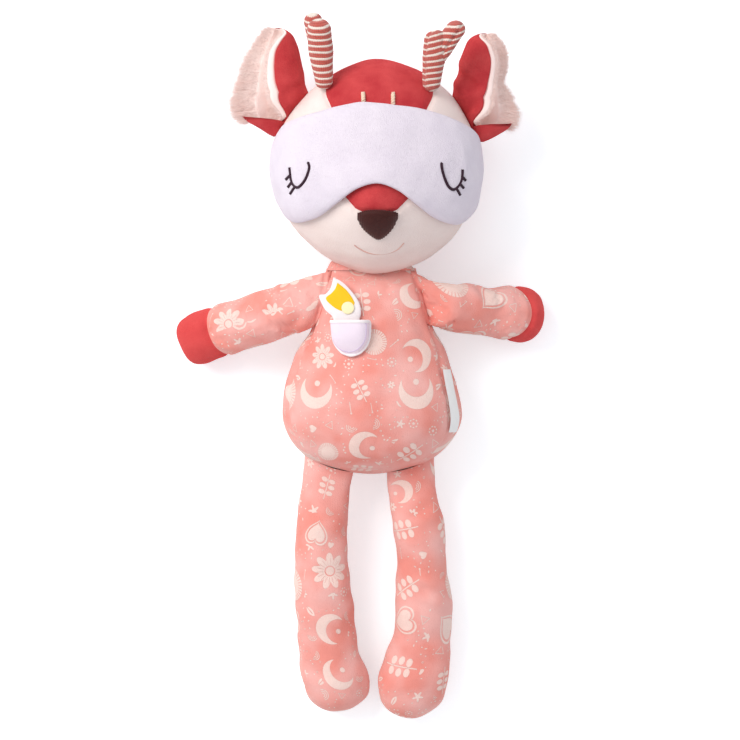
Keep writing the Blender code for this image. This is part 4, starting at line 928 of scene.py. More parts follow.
def make_nose():
    """Padded embroidered nose: rows of upright satin stitches over a rounded triangle."""
    outline = from_photo(0.080, *NOSE_OUTLINE)
    outline = resampled(np.concatenate([outline, outline[:1]]), 241)[:-1]
    middle = outline.mean(axis=0)
    share = np.sin(np.linspace(0, math.pi / 2, 60))[:, None, None]
    places = middle + (outline[None] - middle) * share
    ragged = 1 + 0.018 * np.sin(places[..., 0] * math.tau / 0.00105) * share[..., 0] ** 4
    places = middle + (places - middle) * ragged[..., None]
    rise = 0.0029 * np.clip(1 - share[..., 0] ** 4, 0, 1) ** 0.45 * np.ones(places.shape[:2])
    ridges = 0.00022 * np.abs(np.sin(places[..., 0] * math.pi / 0.00055 + 30 * places[..., 1]))
    points = over_face(places[..., 0], places[..., 1], ROOM / 2 + rise + ridges * (rise > 0.0002))
    item = cloth_grid("nose_embroidery", placed(HEAD, points), BROWN, True, HEAD_MIDDLE)
    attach(item, "head")
    dressed(item, "brown_thread", "nose", fill=1.0)


def twisted(name, ends, radius, material, slot, node):
    """Short stitch of thick two-ply thread between two places on the head."""
    line = np.linspace(ends[0], ends[1], 60)
    path = over_face(line[:, 0], line[:, 1], radius * 1.2)
    arch = np.sin(np.linspace(0, math.pi, 60)) ** 0.5
    path[:, 2] += (arch - 1) * radius * 2.2
    run = np.linspace(0, math.tau * 2.4, 60)
    plies = []
    for phase in (0, math.pi):
        wind = np.stack([np.cos(run + phase), np.zeros(60), np.sin(run + phase)], axis=-1) * radius * 0.5
        plies.append(placed(HEAD, tube(path + wind, radius * 0.62, 8, up=np.array((0, 0, 1.0)))))
    item = joined_grids(name, plies, material)
    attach(item, "head")
    dressed(item, slot, node)


# Pixels along the smile, and at the ends of the crown stitches
SMILE = ((354, 245), (360, 249), (369, 252.8), (379, 254), (389, 252.8), (398, 249), (404, 243))
CROWN_STITCHES = {"left": ((363, 92.5), (363.5, 103)), "right": ((393, 92.5), (393, 106))}


def make_face():
    """Nose, smile, crown stitches and the closed eyes under the mask."""
    make_nose()
    smile = from_photo(0.066, *SMILE)
    stitched(
        "smile_stitches", [smile], 0.0006, ROSE, "rose_thread", ("mouth_stitch",), "head", ROOM / 3,
        over_face,
    )
    for name, pixels in CROWN_STITCHES.items():
        ends = from_photo(0.068, *pixels)
        twisted(f"crown_thread_{name}", ends, 0.0010, THREAD, "cream_thread", f"crown_stitch_{name}")
    for side, name in ((-1, "left"), (1, "right")):
        angle = np.linspace(math.pi, math.tau, 9)
        path = np.stack([side * 0.028 + np.cos(angle) * 0.008, -0.004 + np.sin(angle) * 0.006], axis=-1)
        stitched(
            f"eye_stitches_{name}", [path], 0.0013, BROWN, "brown_thread", (f"eye_{name}",), "head", GAP,
            over_face,
        )


# Mask


# Longitude, upper latitude, lower latitude, in degrees
MASK_COLUMNS = np.array((
    (-95, 11, -21), (-84, 17.5, -29.5), (-70, 20.5, -32.9), (-52, 22.5, -32.6), (-36, 25.8, -29.2),
    (-22, 28.8, -21.8), (-11, 30.6, -15.0), (0, 30.2, -12.0), (11, 29.4, -15.0), (22, 28.7, -21.3),
    (36, 26.5, -28.1), (52, 23.1, -31.4), (70, 19.9, -30.8), (84, 16.5, -27), (95, 9, -20),
))
MASK_LIFT = 0.0019
# Ends of each soft fold in the head's frame, depth, half width
MASK_FOLDS = (
    ((0.0425, 0.014, 0.030), (0.0480, -0.012, 0.020), 0.0017, 0.0028),
    ((0.0330, -0.0215, 0.045), (0.0450, -0.0175, 0.034), 0.0013, 0.0024),
    ((0.0300, -0.0160, 0.045), (0.0400, -0.0130, 0.038), 0.0008, 0.0022),
    ((0.0200, 0.0260, 0.050), (0.0340, 0.0060, 0.048), 0.0010, 0.0036),
    ((-0.0250, 0.0180, 0.050), (-0.0100, 0.0060, 0.052), 0.0006, 0.0040),
    ((-0.0470, 0.0080, 0.028), (-0.0500, -0.0100, 0.020), 0.0005, 0.0026),
)
MASK_THICK = 0.0039
# Degrees from the middle of the mask to its ends
MASK_REACH = 95
# Pixels along the closed eye of the mask and along its lashes
MASK_EYES = {
    "left": (
        ((307.8, 162), (309.5, 167), (308.4, 172.5), (305.8, 179), (301.8, 184.5), (297.4, 187.4),
         (293.4, 184.8), (291.1, 180), (290.2, 174), (289.4, 167)),
        ((291, 174.2), (285.2, 178.8)), ((292.3, 181), (287.5, 186.5)), ((295, 186.3), (289.7, 193.4)),
    ),
    "right": (
        ((441, 163), (441.5, 168.5), (442.8, 174), (445.3, 181), (448.8, 187.3), (453.5, 189.7),
         (458, 186.4), (461.3, 180.5), (462.3, 175), (462.6, 169.5)),
        ((461.6, 176), (466, 180.4)), ((459.2, 183), (464, 188)), ((456, 188), (460.4, 195)),
    ),
}


def mask_places(down, across):
    """Longitudes and latitudes of the mask, with rounded ends."""
    longitude = np.linspace(-MASK_REACH, MASK_REACH, across)
    top, bottom = smooth(MASK_COLUMNS, longitude).T
    share = np.linspace(0, 1, down)[:, None]
    return np.radians(longitude)[None] + 0 * share, np.radians(top + (bottom - top) * share)


def mask_lift(longitude):
    """How far the mask's back stands off the head and how thick it is, thinner beside the face."""
    side = eased((np.abs(np.degrees(longitude)) - 45) / 40)
    return MASK_LIFT * (1 - 0.5 * side), MASK_THICK * (1 - 0.62 * side)


def mask_swell(skin):
    """Uneven stuffing of the mask, with its soft folds beside and under one eye."""
    swell = 0.0007 * lumps(skin, 0.020, 21) + 0.00025 * lumps(skin, 0.007, 22)
    outward = np.zeros_like(skin)
    outward[..., 2] = 1
    moved = folded(skin, outward, MASK_FOLDS)
    return swell + moved[..., 2] - skin[..., 2]


def over_mask(x, y, lift):
    """Points on the mask's front over places x, y."""
    about = 0.0052
    ways = over_face(x, y, about) / (HEAD_SIZE / 2 + about)
    back, thick = mask_lift(np.arctan2(ways[..., 0], ways[..., 2]))
    return over_face(x, y, back + thick + mask_swell(head_skin(unit(ways))) + lift)


def make_mask():
    """Padded plush front, lining and embroidered eyes of the sleep mask."""
    longitude, latitude = mask_places(110, 260)
    share = np.linspace(-1, 1, 110)[:, None]
    end = np.linspace(-1, 1, 260)[None, :]
    edge = np.clip(1 - np.abs(share) ** 6, 0, 1) ** 0.45 * np.clip(1 - np.abs(end) ** 24, 0, 1) ** 0.4
    ways = round_head(longitude, latitude)
    skin = head_skin(ways)
    back, thick = mask_lift(longitude)
    gathers = 0.00022 * lumps(skin, 0.0042, 23) * np.exp(-(1 - np.abs(share)) / 0.10)
    lift = back + (thick + mask_swell(skin) + gathers) * edge
    item = cloth_grid("mask_plush_front", placed(HEAD, head_skin(ways, lift)), LAVENDER, False, HEAD_MIDDLE)
    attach(item, "mask")
    dressed(item, "mask_plush", "mask_front", fill=0.7)
    under = head_skin(ways, back - 0.0004 * edge)
    lining = cloth_grid("mask_lining_cloth", placed(HEAD, under), POCKET, False, HEAD_MIDDLE)
    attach(lining, "mask")
    dressed(lining, "pocket_plush", "mask_lining", fill=0.3)
    for name, lines in MASK_EYES.items():
        stitched(
            f"mask_eye_{name}", [from_photo(0.070, *line) for line in lines], 0.00150, LASH, "brown_thread",
            (f"mask_lashes_{name}",), "mask", 0.0002, over_mask, 0.40,
        )


STRAP_HALF_WIDTH = 0.0030


def make_strap():
    """Elastic strap round the back of the head, whose ends follow the mask."""
    share = np.linspace(0, 1, 160)[:, None]
    way = 2 * share - 1
    longitude = np.radians(180 + 100 * np.sign(way) * np.abs(way) ** 0.75)
    latitude = np.radians(-3 + 34 * np.sin(math.pi * share))
    across = np.linspace(-1, 1, 9)[None, :]
    ways = round_head(longitude + 0 * across, latitude + across * STRAP_HALF_WIDTH / (HEAD_SIZE[1] / 2))
    lift = 0.0011 + 0.0003 * (1 - across**4) + 0 * share
    grid = np.concatenate([head_skin(ways, lift), head_skin(ways, lift * 0 + 0.0003)[:, ::-1]], axis=1)
    strap = cloth_grid("mask_strap_elastic", placed(HEAD, grid), ELASTIC, True)
    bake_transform(strap)
    dressed(strap, "elastic", "mask_strap")


# Body


def torso_section(y):
    """Half width, half depth and middle height of the body at places along it."""
    share = (TORSO_TOP - np.asarray(y, float)) / TORSO_LENGTH
    width, depth, middle = np.moveaxis(rounded(TORSO_ROWS, share, (1, 2)), -1, 0)
    return width * TORSO_WIDTH / 2, depth * TORSO_DEPTH / 2, middle * TORSO_DEPTH - REST_FLAT


def seam_turn(y):
    """How far the side seam beside the label is pulled towards the front."""
    return math.radians(10) * np.exp(-(((y + 0.008) / 0.026) ** 2))


def torso_grid(start, end, down, around):
    """Points of the body's skin between two angles round it."""
    y = (TORSO_TOP - crowded(down) * TORSO_LENGTH)[:, None]
    half_width, half_depth, middle = torso_section(y)
    part = np.linspace(0, 1, around)[None, :]
    beside = 1 - 2 * part if end - start < math.pi else 2 * part - 1
    angle = start + (end - start) * part + seam_turn(y) * np.clip(beside, 0, 1) ** 2
    full = chest_fullness(y)
    cosine, sine = np.cos(angle), np.sin(angle)
    x = half_width * np.sign(cosine) * np.abs(cosine) ** full
    sine = np.where(sine > 0, np.abs(sine) ** full * front_tuck(y), sine)
    z = np.maximum(middle + half_depth * sine, 0.0)
    return np.stack([x, y + 0 * angle, z], axis=-1)


def front_tuck(y):
    """Factor of the front's height, which falls away under the chin."""
    return 0.06 + 0.94 * eased((TORSO_TOP - y) / 0.0125)


def chest_fullness(y):
    """Exponent that makes the body's section fuller at the chest."""
    return 1 / (1 + 0.35 * np.clip((y - 0.012) / 0.030, 0, 1))


def make_torso():
    """Front and back panels of the body."""
    for name, start, end, nodes in (
        ("torso_front_cloth", BODY_SEAM, math.pi - BODY_SEAM, ("torso_front_panel", "torso_stuffing")),
        ("torso_back_cloth", math.pi - BODY_SEAM, math.tau + BODY_SEAM, ("torso_back_panel",)),
    ):
        points = torso_grid(start, end, 170, 150)
        outward = unit(np.stack([
            points[..., 0] / (TORSO_WIDTH / 2) ** 2, 0 * points[..., 0],
            (points[..., 2] - 0.030) / (TORSO_DEPTH / 2) ** 2,
        ], axis=-1))
        soft = 0.0007 * lumps(points, 0.022, 31) + 0.0002 * lumps(points, 0.008, 32)
        soft = soft * np.clip(points[..., 2] / 0.006, 0, 1)
        points = points + outward * soft[..., None]
        points = relaxed(points, False, ("first", "last", "left", "right"), 0.0012)
        points[..., 2] = np.maximum(points[..., 2], 0)
        if name == "torso_front_cloth":
            points = folded(points, outward, TORSO_FOLDS)
        points = sewn(points, outward, ("left", "right"), seed=41)
        item = cloth_grid(name, points, PRINT, inside=(0, 0, 0.03))
        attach(item, "torso")
        dressed(item, "printed_cotton", *nodes, fill=0.85)


# Arms


ARM_WIDTH = 0.0276
ARM_DEPTH = 0.0230
ARM_ROOT = 0.0260
# Half length of the root's ring on the body, and how far it lies under the body's cloth
ARM_ROOT_RING = 0.0147
ARM_ROOT_SUNK = 0.0016
ARM_AROUND = 120
SHOULDER = 0.0425
LIMB_ROOT = 0.0022
# Place along the reach, half width, half depth
ARM_ROWS = np.array((
    (0.0, 0.90, 0.30), (0.10, 0.99, 0.50), (0.22, 0.99, 0.77), (0.38, 1.0, 0.95), (0.56, 0.95, 1.0),
    (0.70, 1.0, 1.0), (0.79, 1.02, 1.04), (0.90, 0.97, 0.98), (0.965, 0.74, 0.76), (1.0, 0.0, 0.0),
))
# Name, side, reach, droop, share of the wrist seam, its bulge, turn of the front seam, folds
ARMS = (
    ("left", -1, 0.0822, math.radians(18.5), 0.715, 0.0016, math.radians(18), (
        ((0.010, 0.004, 0.013), (0.030, 0.001, 0.012), 0.0010, 0.0028),
        ((0.006, -0.006, 0.011), (0.018, -0.011, 0.008), 0.0008, 0.0024),
        ((0.046, 0.012, 0.006), (0.050, 0.002, 0.012), 0.0005, 0.0030),
    )),
    ("right", 1, 0.0698, math.radians(9.4), 0.735, 0.0070, math.radians(13), (
        ((0.026, 0.013, 0.004), (0.031, 0.004, 0.012), 0.0009, 0.0028),
        ((0.008, -0.008, 0.010), (0.022, -0.011, 0.008), 0.0008, 0.0024),
        ((0.040, -0.004, 0.012), (0.043, -0.012, 0.006), 0.0005, 0.0030),
    )),
)
# Place along the length, factor of the width, shift of the middle across
ARM_SHAPES = {
    "left": np.array(((0.0, 1.0, 0.0), (0.4, 0.97, 0.0), (1.0, 1.0, 0.0))),
    "right": np.array((
        (0.0, 0.92, -0.0010), (0.19, 0.86, -0.0026), (0.38, 0.91, -0.0019), (0.60, 0.985, -0.0004),
        (0.8, 1.0, 0.0), (1.0, 1.0, 0.0),
    )),
}


def seam_point(y, side, lift):
    """Point on the body's side seam, moved out by lift."""
    half_width, half_depth, middle = (float(value) for value in torso_section(y))
    outward = Vector((math.cos(BODY_SEAM) * half_depth, 0, math.sin(BODY_SEAM) * half_width)).normalized()
    point = Vector((half_width * math.cos(BODY_SEAM), y, middle + half_depth * math.sin(BODY_SEAM)))
    point += outward * lift
    return Vector((side * point.x, point.y, point.z))


def frame_from(along, upright, origin):
    """Matrix whose X runs along a limb and whose Y is its wide way."""
    matrix = Matrix((along, upright, along.cross(upright))).transposed().to_4x4()
    matrix.translation = origin
    return matrix


def arm_frame(side, reach, droop):
    """Place of an arm and the line of its seam, in its own frame."""
    ends = [seam_point(SHOULDER + way * ARM_ROOT / 2, side, LIMB_ROOT + GAP) for way in (1, -1)]
    middle = (ends[0] + ends[1]) / 2
    drop = middle.z - ARM_DEPTH / 2 * 1.04 - GAP
    slope = math.asin(drop / (reach * 0.90))
    flat = math.cos(slope)
    along = Vector((side * math.cos(droop) * flat, -math.sin(droop) * flat, -math.sin(slope)))
    upright = Vector((0, 0, 1)).cross(along).normalized()
    upright = upright if upright.y > 0 else -upright
    matrix = frame_from(along, upright, middle)
    root = matrix.to_3x3().inverted() @ (ends[0] - ends[1]).normalized()
    return matrix, np.array(root if root.y > 0 else -root)


def limb_grid(table, reach, width, depth, root, first, last, down, around):
    """Rings of a limb in its own frame between two shares of its reach."""
    share = np.linspace(first, last, down)
    if last == 1:
        share = first + (1 - first) * domed(down)
    sizes = rounded(table, share, (1, 2))
    angle = turns(around) - math.pi / 2
    turn = np.clip(share / 0.22, 0, 1)[:, None]
    axis = unit(root * (1 - turn) + np.array((0, 1.0, 0)) * turn)
    rings = axis[:, None] * (np.cos(angle)[None, :, None] * (sizes[:, 0] * width / 2)[:, None, None])
    rings[..., 2] += np.sin(angle)[None] * (sizes[:, 1] * depth / 2)[:, None]
    rings[..., 0] += (share * reach)[:, None]
    return rings, angle


def swollen(points, closed, seed, amount=0.0006):
    """Grid with soft uneven stuffing."""
    off = grid_normals(points, closed)
    soft = lumps(points, 0.018, seed) + 0.4 * lumps(points, 0.007, seed + 1)
    return points + off * (amount * soft)[..., None], off


def arm_root(side, matrix, around, front):
    """Ring of an arm's root on the body's skin, in the arm's frame."""
    angle = turns(around) - math.pi / 2
    rise = np.sin(angle)
    y = SHOULDER + np.cos(angle) * ARM_ROOT_RING
    turn = BODY_SEAM + np.where(rise > 0, front, math.radians(18)) * rise
    half_width, half_depth, middle = torso_section(y)
    full = chest_fullness(y)
    x = (half_width - ARM_ROOT_SUNK) * np.cos(turn) ** full
    rise = np.sign(np.sin(turn)) * np.abs(np.sin(turn)) ** full
    z = middle + (half_depth - ARM_ROOT_SUNK) * np.where(rise > 0, rise * front_tuck(y), rise)
    ring = np.stack([side * x, y, z], axis=-1)
    inverse = matrix.inverted()
    turned = np.array(inverse.to_3x3())
    return ring @ turned.T + np.array(inverse.translation)


def upward(matrix):
    """One where a limb's own Z points up, else minus one."""
    return 1 if matrix.col[2].z > 0 else -1


def grown(points, ring, share):
    """Grid of an arm whose first rings grow out of a ring on the body."""
    nearest = np.argmin(np.linalg.norm(ring[:, 1:] - points[0, 0, 1:], axis=1))
    rolled = np.roll(ring, -nearest, axis=0)
    mirrored = np.roll(rolled[::-1], 1, axis=0)
    start = min((rolled, mirrored), key=lambda option: np.linalg.norm(option[:, 1:] - points[0, :, 1:]))
    keep = np.clip(1 - share / 0.24, 0, 1)[..., None] ** 2
    return start[None] * keep + points * (1 - keep)


def creased(points, off, folds, mirror):
    """Limb with its folds, whose places take the factors of mirror, and the direction off it."""
    middle = points.mean(axis=1, keepdims=True)
    off = np.where(((points - middle) * off).sum(-1, keepdims=True) < 0, -off, off)
    tops = [(np.multiply(one, mirror), np.multiply(two, mirror), *sizes) for one, two, *sizes in folds]
    return folded(points, off, tops), off


def fuller(points, share, rise, flip, wrist, bulge):
    """Arm with the fullness of its top beside the shoulder and with the bulge of its wrist seam."""
    shoulder = 0.0042 * np.exp(-(((share - 0.13) / 0.11) ** 2)) * np.clip(rise * flip, 0, 1) ** 0.7
    points[..., 2] += flip * shoulder * np.clip(share / 0.03, 0, 1)
    points[..., 0] += bulge * np.exp(-(((share - wrist) / 0.10) ** 2)) * np.abs(rise) ** 1.5
    return points


def dress_arm(kind, name, side, matrix, points):
    """Cloth of an arm, which grows out of the body at its root, or of a hand."""
    cloth = PRINT if kind == "arm" else HANDS
    grid = placed(matrix, points)
    grid[..., 2] = np.maximum(grid[..., 2], 0)
    item = cloth_grid(f"{kind}_cloth_{name}", grid, cloth, True, shift=(side * 0.013, 0.05))
    if kind == "arm":
        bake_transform(item)
        dressed(item, "printed_cotton", f"arm_cover_{name}", f"arm_stuffing_{name}", fill=0.85)
    else:
        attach(item, f"arm_{name}")
        dressed(item, "red_velour", f"hand_cover_{name}", fill=0.9)


def make_arms():
    """Arms and their velour hands."""
    for name, side, reach, droop, wrist, bulge, front, folds in ARMS:
        matrix, root = arm_frame(side, reach, droop)
        ring = arm_root(side, matrix, ARM_AROUND, front)
        flip = upward(matrix)
        for kind, first, last, down in (("arm", 0, wrist, 150), ("hand", wrist, 1, 70)):
            points, angle = limb_grid(
                ARM_ROWS, reach, ARM_WIDTH, ARM_DEPTH, root, first, last, down, ARM_AROUND,
            )
            share = points[:, :1, 0] / reach
            width, drift = smooth(ARM_SHAPES[name], share[:, 0]).T
            points[..., 1] = points[..., 1] * width[:, None] + drift[:, None]
            if kind == "arm":
                points = grown(points, ring, share)
            points = fuller(points, share, np.sin(angle)[None], flip, wrist, bulge)
            points, off = swollen(points, True, 51 + side)
            if kind == "arm":
                points = relaxed(points, True, ("first", "last"), 0.0010)
            points, off = creased(points, off, folds, (1, 1, flip))
            edges = ("first", "last") if kind == "arm" else ("first",)
            points = sewn(points, off, edges, 0.0009, pucker=0.0003, seed=61 + side)
            dress_arm(kind, name, side, matrix, points)


# Legs


LEG_LENGTH = 0.1230
LEG_WIDTH = 0.0354
LEG_DEPTH = 0.0260
LEG_SPACING = 0.0440
HIP_HEIGHT = 0.0230
# Share of the length where a foot lies on the surface
LEG_TOUCH = 0.88
LEG_INNER = 0.0123
# Place along the length, half width, half depth
LEG_ROWS = np.array((
    (0.0, 0.69, 0.34), (0.07, 0.70, 0.54), (0.163, 0.72, 0.84), (0.356, 0.76, 0.93), (0.566, 0.84, 0.98),
    (0.746, 0.93, 1.0), (0.88, 1.0, 1.0), (0.96, 0.76, 0.76), (1.0, 0.0, 0.0),
))
# Place along the length, drift of the middle
LEG_DRIFTS = {
    "left": np.array((
        (0.0, 0.0), (0.19, 0.093), (0.53, 0.088), (0.745, -0.008), (0.893, -0.115), (1.0, -0.135),
    )),
    "right": np.array((
        (0.0, -0.02), (0.19, 0.062), (0.40, 0.135), (0.62, 0.150), (0.745, 0.072), (0.893, -0.014),
        (1.0, -0.03),
    )),
}
LEG_REACHES = {"left": 0.1230, "right": 0.1262}
LEG_FOLDS = {
    "left": (
        ((0.012, 0.014, 0.009), (0.022, 0.000, 0.013), 0.0008, 0.0030),
        ((0.052, -0.014, 0.006), (0.048, 0.004, 0.013), 0.0007, 0.0036),
        ((0.066, 0.014, 0.006), (0.070, -0.002, 0.013), 0.0006, 0.0036),
        ((0.098, 0.014, 0.008), (0.104, -0.006, 0.013), 0.0006, 0.0036),
    ),
    "right": (
        ((0.063, 0.017, 0.006), (0.055, 0.002, 0.014), 0.0013, 0.0026),
        ((0.070, 0.016, 0.006), (0.064, 0.004, 0.013), 0.0006, 0.0030),
        ((0.012, 0.012, 0.009), (0.020, -0.004, 0.013), 0.0008, 0.0030),
        ((0.090, -0.014, 0.008), (0.096, 0.002, 0.014), 0.0006, 0.0034),
    ),
}


def underside(x):
    """Place along the body where its bottom passes places x, at the height of the hips."""
    y = np.linspace(-TORSO_BELOW, 0, 300)
    half_width, half_depth, middle = torso_section(y)
    off = ((HIP_HEIGHT - middle) / np.maximum(half_depth, 1e-6)) ** 2
    reach = half_width * np.sqrt(np.clip(1 - off, 0, 1))
    return np.interp(np.abs(x), reach[:200], y[:200])


def make_legs():
    """Legs, whose roots follow the bottom of the body."""
    for name, side in (("left", -1), ("right", 1)):
        reach = LEG_REACHES[name]
        inner = LEG_SPACING / 2 - LEG_INNER
        level = float(underside(inner))
        middle = Vector((side * LEG_SPACING / 2, level - LIMB_ROOT - ROOM, HIP_HEIGHT))
        touch = LEG_TOUCH * LEG_LENGTH
        slope = math.asin((HIP_HEIGHT - GAP) / math.hypot(touch, LEG_DEPTH / 2))
        slope -= math.atan2(LEG_DEPTH / 2, touch)
        along = Vector((0, -math.cos(slope), -math.sin(slope)))
        matrix = frame_from(along, Vector((1, 0, 0)), middle)
        points, _ = limb_grid(LEG_ROWS, reach, LEG_WIDTH, LEG_DEPTH, np.array((0, 1.0, 0)), 0, 1, 220, 120)
        share = points[:, :1, 0] / reach
        points[..., 1] += side * smooth(LEG_DRIFTS[name], share[:, 0]) * LEG_WIDTH
        outer = np.maximum(np.abs(side * LEG_SPACING / 2 + points[..., 1]), inner)
        follow = np.interp(share, (0, 0.07, 0.163, 0.3), (1.0, 0.45, 0.15, 0))
        points[..., 0] -= (underside(outer) - level) * follow + 0.0034 * (1 - np.clip(share / 0.1, 0, 1))
        points, off = swollen(points, True, 71 + side, 0.0007)
        points = relaxed(points, True, ("first", "last"), 0.0012)
        points, _ = creased(points, off, LEG_FOLDS[name], (1, side, upward(matrix)))
        grid = placed(matrix, points)
        grid[..., 2] = np.maximum(grid[..., 2], 0)
        item = cloth_grid(f"leg_cloth_{name}", grid, PRINT, True, shift=(side * 0.021, 0.09))
        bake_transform(item)
        dressed(item, "printed_cotton", f"leg_cover_{name}", f"leg_stuffing_{name}", fill=0.85)


# Ears


EAR_LENGTH = 0.0515
EAR_WIDTH = 0.032
EAR_DEPTH = 0.021
EAR_BASE = 0.0185
EAR_ROOT_SHARE = 0.34
# Height, middle beyond the root, half width, half depth
EAR_ROWS = {
    -1: np.array((
        (-0.09, 0.12, 0.13, 0.14), (0.0, 0.42, 0.42, 0.46), (0.08, 0.64, 0.74, 0.72),
        (0.17, 0.79, 0.92, 0.88), (0.34, 0.95, 1.11, 1.0), (0.53, 0.91, 0.95, 0.95),
        (0.70, 0.91, 0.80, 0.86), (0.84, 0.88, 0.66, 0.70), (0.94, 0.86, 0.46, 0.46), (1.0, 0.88, 0.0, 0.0),
    )),
    1: np.array((
        (-0.09, 0.12, 0.13, 0.14), (0.0, 0.44, 0.44, 0.46), (0.08, 0.62, 0.70, 0.72),
        (0.17, 0.72, 0.82, 0.88), (0.34, 0.82, 0.94, 1.0), (0.50, 0.80, 0.80, 0.96),
        (0.62, 0.84, 0.76, 0.92), (0.72, 0.86, 0.74, 0.86), (0.84, 0.87, 0.64, 0.70),
        (0.94, 0.86, 0.46, 0.46), (1.0, 0.88, 0.0, 0.0),
    )),
}
# Heights and angles of the ends of each fold of an ear, depth, half width
EAR_FOLDS = {
    -1: (((0.44, 0.30), (5, 66), 0.0020, 0.0030),),
    1: (((0.60, 0.44), (4, 76), 0.0030, 0.0026), ((0.20, 0.30), (20, 76), 0.0016, 0.0024)),
}
# Height, share of the longest fibres past the back edge
EAR_REACH = {
    -1: ((0, 0.9), (0.15, 1.15), (0.55, 1.1), (0.8, 0.8), (1, 0.5)),
    1: ((0, 0.8), (0.2, 0.9), (0.42, 0.75), (0.52, 0.3), (0.62, 0.6), (0.8, 0.65), (1, 0.4)),
}
# Angle of the ear's back edge
EAR_BACK = -150
# Thickness of the ear's velour
EAR_THICK = 0.0014
# Where the lining turns over the flap's edge, in degrees past it, and over the back edge, in degrees round
# the ear, each with its insets
FLAP_BAND = np.array((-7, -3, 0, 1.5, 3, 6, 9, 12, 14, 15.5, 16, 15, 12, 8, 4, 0))[None, :]
FLAP_INSET = np.array((11, 11, 10, 4, 1, 0, 0, 1, 4, 9, 14, 18, 21, 22, 22, 22))[None, :] * 0.0001
BACK_BAND = np.array((-152, -154, -155, -155.5, -155, -153, -149))[None, :]
BACK_INSET = np.array((0.0017, 0.0012, 0.0006, 0.0, -0.0005, -0.0008, -0.0008))[None, :]
# Tufts of the lining: strands, from and to which part across it, shortest and longest, lift off it, and
# how far they turn outward past the back edge
EAR_TUFTS = (
    (4200, 0.05, 0.90, 0.0032, 0.0056, 0.30, 0.0), (4200, 0.78, 1.0, 0.0046, 0.0080, 0.22, 0.45),
)
# Height, angle of the flap's edge
EAR_FLAP = {
    -1: np.array((
        (-0.09, 15), (0.07, 25), (0.24, 67), (0.42, 85), (0.64, 91), (0.81, 83), (0.90, 64), (0.96, 40),
        (1.0, 25),
    )),
    1: np.array((
        (-0.09, 15), (0.07, 30), (0.20, 72), (0.38, 97), (0.60, 108), (0.78, 104), (0.90, 88), (0.96, 62),
        (1.0, 40),
    )),
}


def head_outline(y):
    """Half width of the head, seen from the front, at heights in its frame."""
    return HEAD_SIZE[0] / 2 * np.sqrt(np.clip(1 - (y / (HEAD_SIZE[1] / 2)) ** 2, 0, 1))


def ear_root(share):
    """Height of places up an ear and the head's half width where the ear stands on it."""
    root = head_outline(EAR_BASE + np.minimum(share, EAR_ROOT_SHARE) * EAR_LENGTH)
    return EAR_BASE + share * EAR_LENGTH, root


def ear_skin(side, share, angle, inset):
    """Points of an ear's cup at heights and at angles in degrees round it."""
    middle, wide, deep = np.moveaxis(rounded(EAR_ROWS[side], share, (2, 3)), -1, 0)
    y, root = ear_root(share)
    turn = np.radians(angle)
    x = root - 0.0004 + EAR_WIDTH / 2 * middle - np.cos(turn) * np.maximum(EAR_WIDTH / 2 * wide - inset, 0)
    z = np.sin(turn) * np.maximum(EAR_DEPTH / 2 * deep - inset, 0)
    return np.stack([side * x, y + 0 * x, z], axis=-1)


def ear_edges(side, share):
    """Angles of the flap's edge and of the back edge, which closes round the ear's foot."""
    closing = eased(1 - (share - 0.05) / 0.07)
    return smooth(EAR_FLAP[side], share)[..., 0], EAR_BACK - 180 * closing


def strands(roots, ways, lengths, radius, droop, seed, pieces=4):
    """Tapered fibres as three-sided tubes: points and faces."""
    dice = np.random.default_rng(seed)
    count = len(roots)
    bend = unit(dice.normal(size=(count, 3))) * 0.45 + droop
    side = unit(np.cross(ways, dice.normal(size=(count, 3))))
    other = np.cross(ways, side)
    part = np.linspace(0, 1, pieces)[None, :, None]
    line = roots[:, None] + lengths[:, None, None] * (ways[:, None] * part + bend[:, None] * part**2 * 0.5)
    size = radius * (1 - 0.85 * part)
    corners = []
    for turn in (0, math.tau / 3, 2 * math.tau / 3):
        corners.append(line + size * (side[:, None] * math.cos(turn) + other[:, None] * math.sin(turn)))
    points = np.stack(corners, axis=2)
    index = np.arange(count * pieces * 3).reshape(count, pieces, 3)
    low, high = index[:, :-1], index[:, 1:]
    faces = np.stack([low, np.roll(low, -1, axis=2), np.roll(high, -1, axis=2), high], axis=-1)
    return points.reshape(-1, 3), faces.reshape(-1, 4)


def fluff_object(name, parts, material):
    """One mesh of several tufts of strands."""
    points, faces, base = [], [], 0
    for corners, quads in parts:
        points.append(corners)
        faces.append(quads + base)
        base += len(corners)
    mesh = bpy.data.meshes.new(name)
    mesh.from_pydata(np.concatenate(points).tolist(), [], np.concatenate(faces).tolist())
    mesh.shade_smooth()
    mesh.materials.append(material)
    item = bpy.data.objects.new(name, mesh)
    bpy.context.scene.collection.objects.link(item)
    return item


def ear_axis(side, share):
    """Points inside the cup that its lining looks at."""
    y, root = ear_root(share)
    x = root + EAR_WIDTH / 2 * smooth(EAR_ROWS[side][:, :2], share)[..., 0]
    return np.stack([side * (x + 0.004), y, 0 * x + 0.004], axis=-1)


